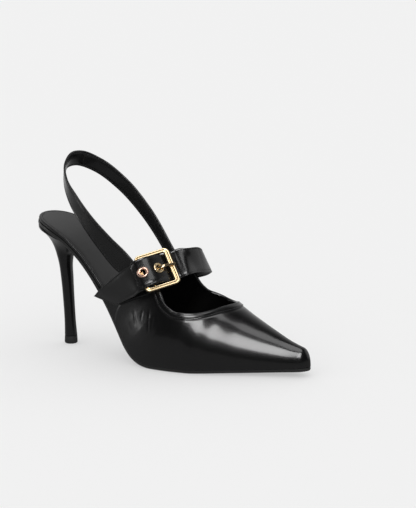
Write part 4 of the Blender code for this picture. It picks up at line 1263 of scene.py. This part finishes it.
def make_prong(material):
    """The prong: rolled round the hinge bar, over the strap and onto the far bar, thinner toward its tip."""
    middle = HINGE_RADIUS + GAP + PRONG_THICK / 2
    angles = np.radians(np.linspace(*PRONG_TURNS, PRONG_STEPS))
    ring = np.stack([HINGE + middle * np.cos(angles), middle * np.sin(angles)], axis=1)
    dense = spline(np.concatenate([ring, np.array(PRONG_AT_BUCKLE[1:]) * (BUCKLE_LONG, INSTEP_RISE)]))
    dense = by_bend(dense, PRONG_STEP, PRONG_TURN)
    slope = units(np.gradient(dense, axis=0))
    wide, thick = PRONG_WIDTH / 2, PRONG_THICK / 2
    section = rounded(((wide, -thick), (wide, thick), (-wide, thick), (-wide, -thick)), PRONG_ROUND, 4)
    reach = lengths(dense)
    rings = []
    for (along, out), (run, rise), left in zip(dense, slope, reach[-1] - reach):
        size = PRONG_TIP_SHARE + (1 - PRONG_TIP_SHARE) * math.sqrt(min(left / PRONG_TIP, 1))
        w, t = section[:, 0], section[:, 1] * size
        rings.append(buckle_points(along - t * rise, BELT_SHIFT + w, out + t * run))
    tube("prong_gold", rings, material, ("prong",), sharp=STRAP_SHARP)


def make_eyelet(name, dense, along, material, node):
    """A rolled eyelet with a domed rim."""
    face = STRAP / 2 + EYELET_SEAT
    half = (EYELET_RIM - EYELET_HOLE) / 2
    wall = EYELET_HOLE + EYELET_WALL
    profile = [(EYELET_HOLE, -STRAP / 4), (EYELET_HOLE, face)]
    for turn in np.radians(np.linspace(*EYELET_DOME)):
        profile.append((EYELET_HOLE + half + half * math.cos(turn), face + EYELET_HEIGHT * math.sin(turn)))
    profile += [(EYELET_RIM, face + EYELET_LIP), (EYELET_RIM - 2 * EYELET_LIP, face)]
    profile += [(wall, face), (wall, -STRAP / 4)]
    radius, height = np.array(profile).T
    place = strap_place(dense, along)
    rings = [
        on_strap(dense, *place, radius * math.cos(angle), radius * math.sin(angle), height)
        for angle in round_angles(EYELET_SIDES)
    ]
    tube(name, rings, material, (node,), joined=True, sharp=STRAP_SHARP)


# Finishes


def feed(tree, node, **inputs):
    """Sets a node's inputs, named with _ for a space, to constants or links them to other nodes' outputs."""
    for name, value in inputs.items():
        socket = node.inputs[name.replace("_", " ")]
        if isinstance(value, bpy.types.NodeSocket):
            tree.links.new(value, socket)
        else:
            socket.default_value = value
    return node


def add_node(tree, kind, **inputs):
    return feed(tree, tree.nodes.new(kind), **inputs)


def noise(tree, place, scale, detail, roughness=0.5):
    node = add_node(tree, "ShaderNodeTexNoise", Vector=place, Scale=scale, Detail=detail, Roughness=roughness)
    return node.outputs["Fac"]


def bump(tree, height, strength, distance, **under):
    node = add_node(tree, "ShaderNodeBump", Height=height, Strength=strength, Distance=distance, **under)
    return node.outputs["Normal"]


def tone(tree, share, colour, light):
    """A colour between two tones."""
    node = tree.nodes.new("ShaderNodeMix")
    node.data_type = "RGBA"
    return feed(tree, node, Factor=share, A=(*colour, 1.0), B=(*light, 1.0)).outputs["Result"]


def between(tree, value, ends, low=0.0, high=1.0):
    """The value's range from low to high, spread between the ends."""
    node = add_node(tree, "ShaderNodeMapRange", Value=value, From_Min=low, From_Max=high)
    return feed(tree, node, To_Min=ends[0], To_Max=ends[1])


def new_material(name):
    made = bpy.data.materials.new(name)
    made.use_nodes = True
    return made, made.node_tree, made.node_tree.nodes["Principled BSDF"]


def leather(name, colour, light, rough, coat, coat_rough, grain, sway):
    """Leather: colour between two close tones, uneven gloss, fine grain and a soft unevenness."""
    made, tree, shader = new_material(name)
    place = tree.nodes.new("ShaderNodeTexCoord").outputs["Object"]
    broad = noise(tree, place, BROAD_SCALE, 3.0)
    fine = noise(tree, place, GRAIN_SCALE, 4.0, 0.6)
    pores = add_node(tree, "ShaderNodeTexVoronoi", Vector=place, Scale=PORE_SCALE).outputs["Distance"]
    wave = bump(tree, broad, sway, SWAY_HIGH)
    cell = bump(tree, pores, grain, PORE_HIGH, Normal=wave)
    gloss = between(tree, fine, rough, *GLOSS_FROM).outputs["Result"]
    feed(tree, shader, Base_Color=tone(tree, broad, colour, light), Roughness=gloss, Coat_Weight=coat)
    feed(tree, shader, Coat_Roughness=coat_rough, Coat_Normal=wave)
    feed(tree, shader, Normal=bump(tree, fine, grain, GRAIN_HIGH, Normal=cell))
    return made


def plated(name, colour, light, rough):
    """Polished metal with faint wear in its gloss and tone."""
    made, tree, shader = new_material(name)
    broad = noise(tree, tree.nodes.new("ShaderNodeTexCoord").outputs["Object"], WEAR_SCALE, 4.0)
    gloss = between(tree, broad, rough).outputs["Result"]
    feed(tree, shader, Metallic=1.0, Base_Color=tone(tree, broad, colour, light), Roughness=gloss)
    feed(tree, shader, Normal=bump(tree, broad, WEAR_BUMP, GRAIN_HIGH))
    return made


# Stage


def add_aimed(name, data, place, aim):
    """A camera or a lamp that looks from its place at its aim."""
    obj = add_object(name, data)
    obj.location = place
    obj.rotation_mode = "QUATERNION"
    obj.rotation_quaternion = (Vector(aim) - Vector(place)).to_track_quat("-Z", "Y")
    return obj


def add_camera():
    azimuth, elevation = math.radians(AZIMUTH), math.radians(ELEVATION)
    level = math.cos(elevation)
    back = Vector((math.sin(azimuth) * level, -math.cos(azimuth) * level, math.sin(elevation)))
    data = bpy.data.cameras.new("camera")
    data.sensor_width = SENSOR
    data.sensor_fit = "AUTO"
    data.lens = LENS
    bpy.context.scene.camera = add_aimed("camera", data, Vector(TARGET) + back * DISTANCE, TARGET)


def add_light(name, place, aim, size, power):
    data = bpy.data.lights.new(name, "AREA")
    data.shape = "RECTANGLE"
    data.size, data.size_y = size
    data.energy = power
    lamp = add_aimed(name, data, place, aim)
    lamp.visible_camera = lamp.visible_diffuse = False


def pick_by_ray(tree, pale, kind, output, front, reach=1.0):
    """Shows glossy rays a studio bright behind the shoe and dark in front, and all others a pale one."""
    on_floor = output == "ShaderNodeOutputMaterial"
    place = tree.nodes.new("ShaderNodeTexCoord").outputs["Object" if on_floor else "Generated"]
    dot = tree.nodes.new("ShaderNodeVectorMath")
    dot.operation = "DOT_PRODUCT"
    away = math.radians(AZIMUTH)
    dot.inputs[1].default_value = Vector((-math.sin(away), math.cos(away), 0)) / reach
    tree.links.new(place, dot.inputs[0])
    glow = between(tree, dot.outputs["Value"], (front, GLOW_BEHIND), GLOW_FROM, GLOW_TO)
    glow.interpolation_type = "SMOOTHSTEP"
    dark = add_node(tree, kind, Color=WHITE, Strength=glow.outputs["Result"])
    path = tree.nodes.new("ShaderNodeLightPath")
    mix = add_node(tree, "ShaderNodeMixShader", Fac=path.outputs["Is Glossy Ray"])
    tree.links.new(pale, mix.inputs[1])
    tree.links.new(dark.outputs[0], mix.inputs[2])
    out = next((node for node in tree.nodes if node.bl_idname == output), None) or tree.nodes.new(output)
    feed(tree, out, Surface=mix.outputs["Shader"])


def add_stage():
    floor = bpy.data.meshes.new("floor")
    corners = [(x * FLOOR_REACH, y * FLOOR_REACH, 0) for x, y in ((-1, -1), (1, -1), (1, 1), (-1, 1))]
    floor.from_pydata(corners, [], [(0, 1, 2, 3)])
    made, tree, shader = new_material("pale_floor")
    feed(tree, shader, Base_Color=(*FLOOR_COLOUR, 1.0), Emission_Color=WHITE, Emission_Strength=FLOOR_LIGHT)
    feed(tree, shader, Roughness=0.9, Specular_IOR_Level=0.0)
    pale = shader.outputs["BSDF"]
    pick_by_ray(tree, pale, "ShaderNodeEmission", "ShaderNodeOutputMaterial", FLOOR_FRONT, FLOOR_GLOW_REACH)
    floor.materials.append(made)
    obj = add_object("floor", floor)
    obj.location.z = FLOOR_LEVEL
    world = bpy.data.worlds.new("studio")
    bpy.context.scene.world = world
    world.use_nodes = True
    tree = world.node_tree
    tree.nodes.clear()
    pale = add_node(tree, "ShaderNodeBackground", Color=(*WORLD_PALE, 1.0)).outputs["Background"]
    pick_by_ray(tree, pale, "ShaderNodeBackground", "ShaderNodeOutputWorld", WORLD_FRONT)
    for light in LIGHTS:
        add_light(*light)


def add_stitches(material, surface, instep, base, sling, rim):
    """The thread rows of the collar, the straps and the insole."""
    band = surface[3]
    collar = [(*on_upper(surface, drop), PITCH) for drop in (COLLAR_STITCH, band - SEAM_STITCH)]
    stitches("collar_stitches", collar, material)
    edges = (STRAP_STITCH, -STRAP_STITCH)
    rows = [(*strap_line(instep, edge, last=INSTEP_STITCHED_TO), STRAP_PITCH) for edge in edges]
    stitches("instep_stitches", rows, material)
    rows = [(*cross_line(instep, STRAP_STITCH, INSTEP_END_INSET), STRAP_PITCH)]
    stitches("instep_end_stitches", rows, material)
    ends = {"first": BASE_STITCHED_FROM, "last": STRAP_STITCH}
    rows = [(*strap_line(base, edge, **ends), STRAP_PITCH) for edge in edges]
    rows.append((*cross_line(base, STRAP_STITCH, BASE_END_INSET), STRAP_PITCH))
    stitches("base_stitches", rows, material)
    faces = [(edge, face) for edge in edges for face in (1.0, -1.0)]
    rows = [(*strap_line(sling, edge, face, thickness=SLING), STRAP_PITCH) for edge, face in faces]
    stitches("sling_stitches", rows, material)
    stitches("insole_stitches", [(*rim, RIM_PITCH)], material)


def main():
    bpy.context.scene.view_settings.view_transform = "Standard"
    add_camera()
    add_stage()
    box, strap, matt, lining, sole, rubber, thread = (leather(*row) for row in LEATHERS[1:])
    gold, rose = (plated(*row) for row in METALS[1:])

    surface = make_upper(box)
    make_outsole(sole)
    rim = make_insole(lining)
    make_heel(box)
    make_top_piece(rubber)

    line = instep_line()
    ends, relief = (0, INSTEP_END_ROUND), (instep_relief, INSTEP_CREASED)
    obj, instep = make_strap("instep_leather", line, STRAP, strap, "instep_strap", ends, *relief)
    for share in (ENGAGED_AT, SPARE_AT):
        cut_hole(obj, line, share * BUCKLE_LONG, EYELET_HOLE + EYELET_WALL + GAP)
    obj, base = make_strap("base_leather", base_line(), STRAP, matt, "base_strap", (0, 0))
    cut_slot(obj)
    sling = spline(free_rows(SLING_ROWS, SLING_WIDTH))
    ends = (SLING_END_ROUND, SLING_END_ROUND)
    _, sling = make_strap("sling_leather", sling, SLING, strap, "sling_strap", ends)

    make_buckle_frame(gold)
    make_buckle_bar(gold)
    make_prong(gold)
    make_eyelet("eyelet_engaged_ring", line, ENGAGED_AT * BUCKLE_LONG, gold, "eyelet_engaged")
    make_eyelet("eyelet_spare_ring", line, SPARE_AT * BUCKLE_LONG, rose, "eyelet_spare")
    add_stitches(thread, surface, instep, base, sling, rim)


main()
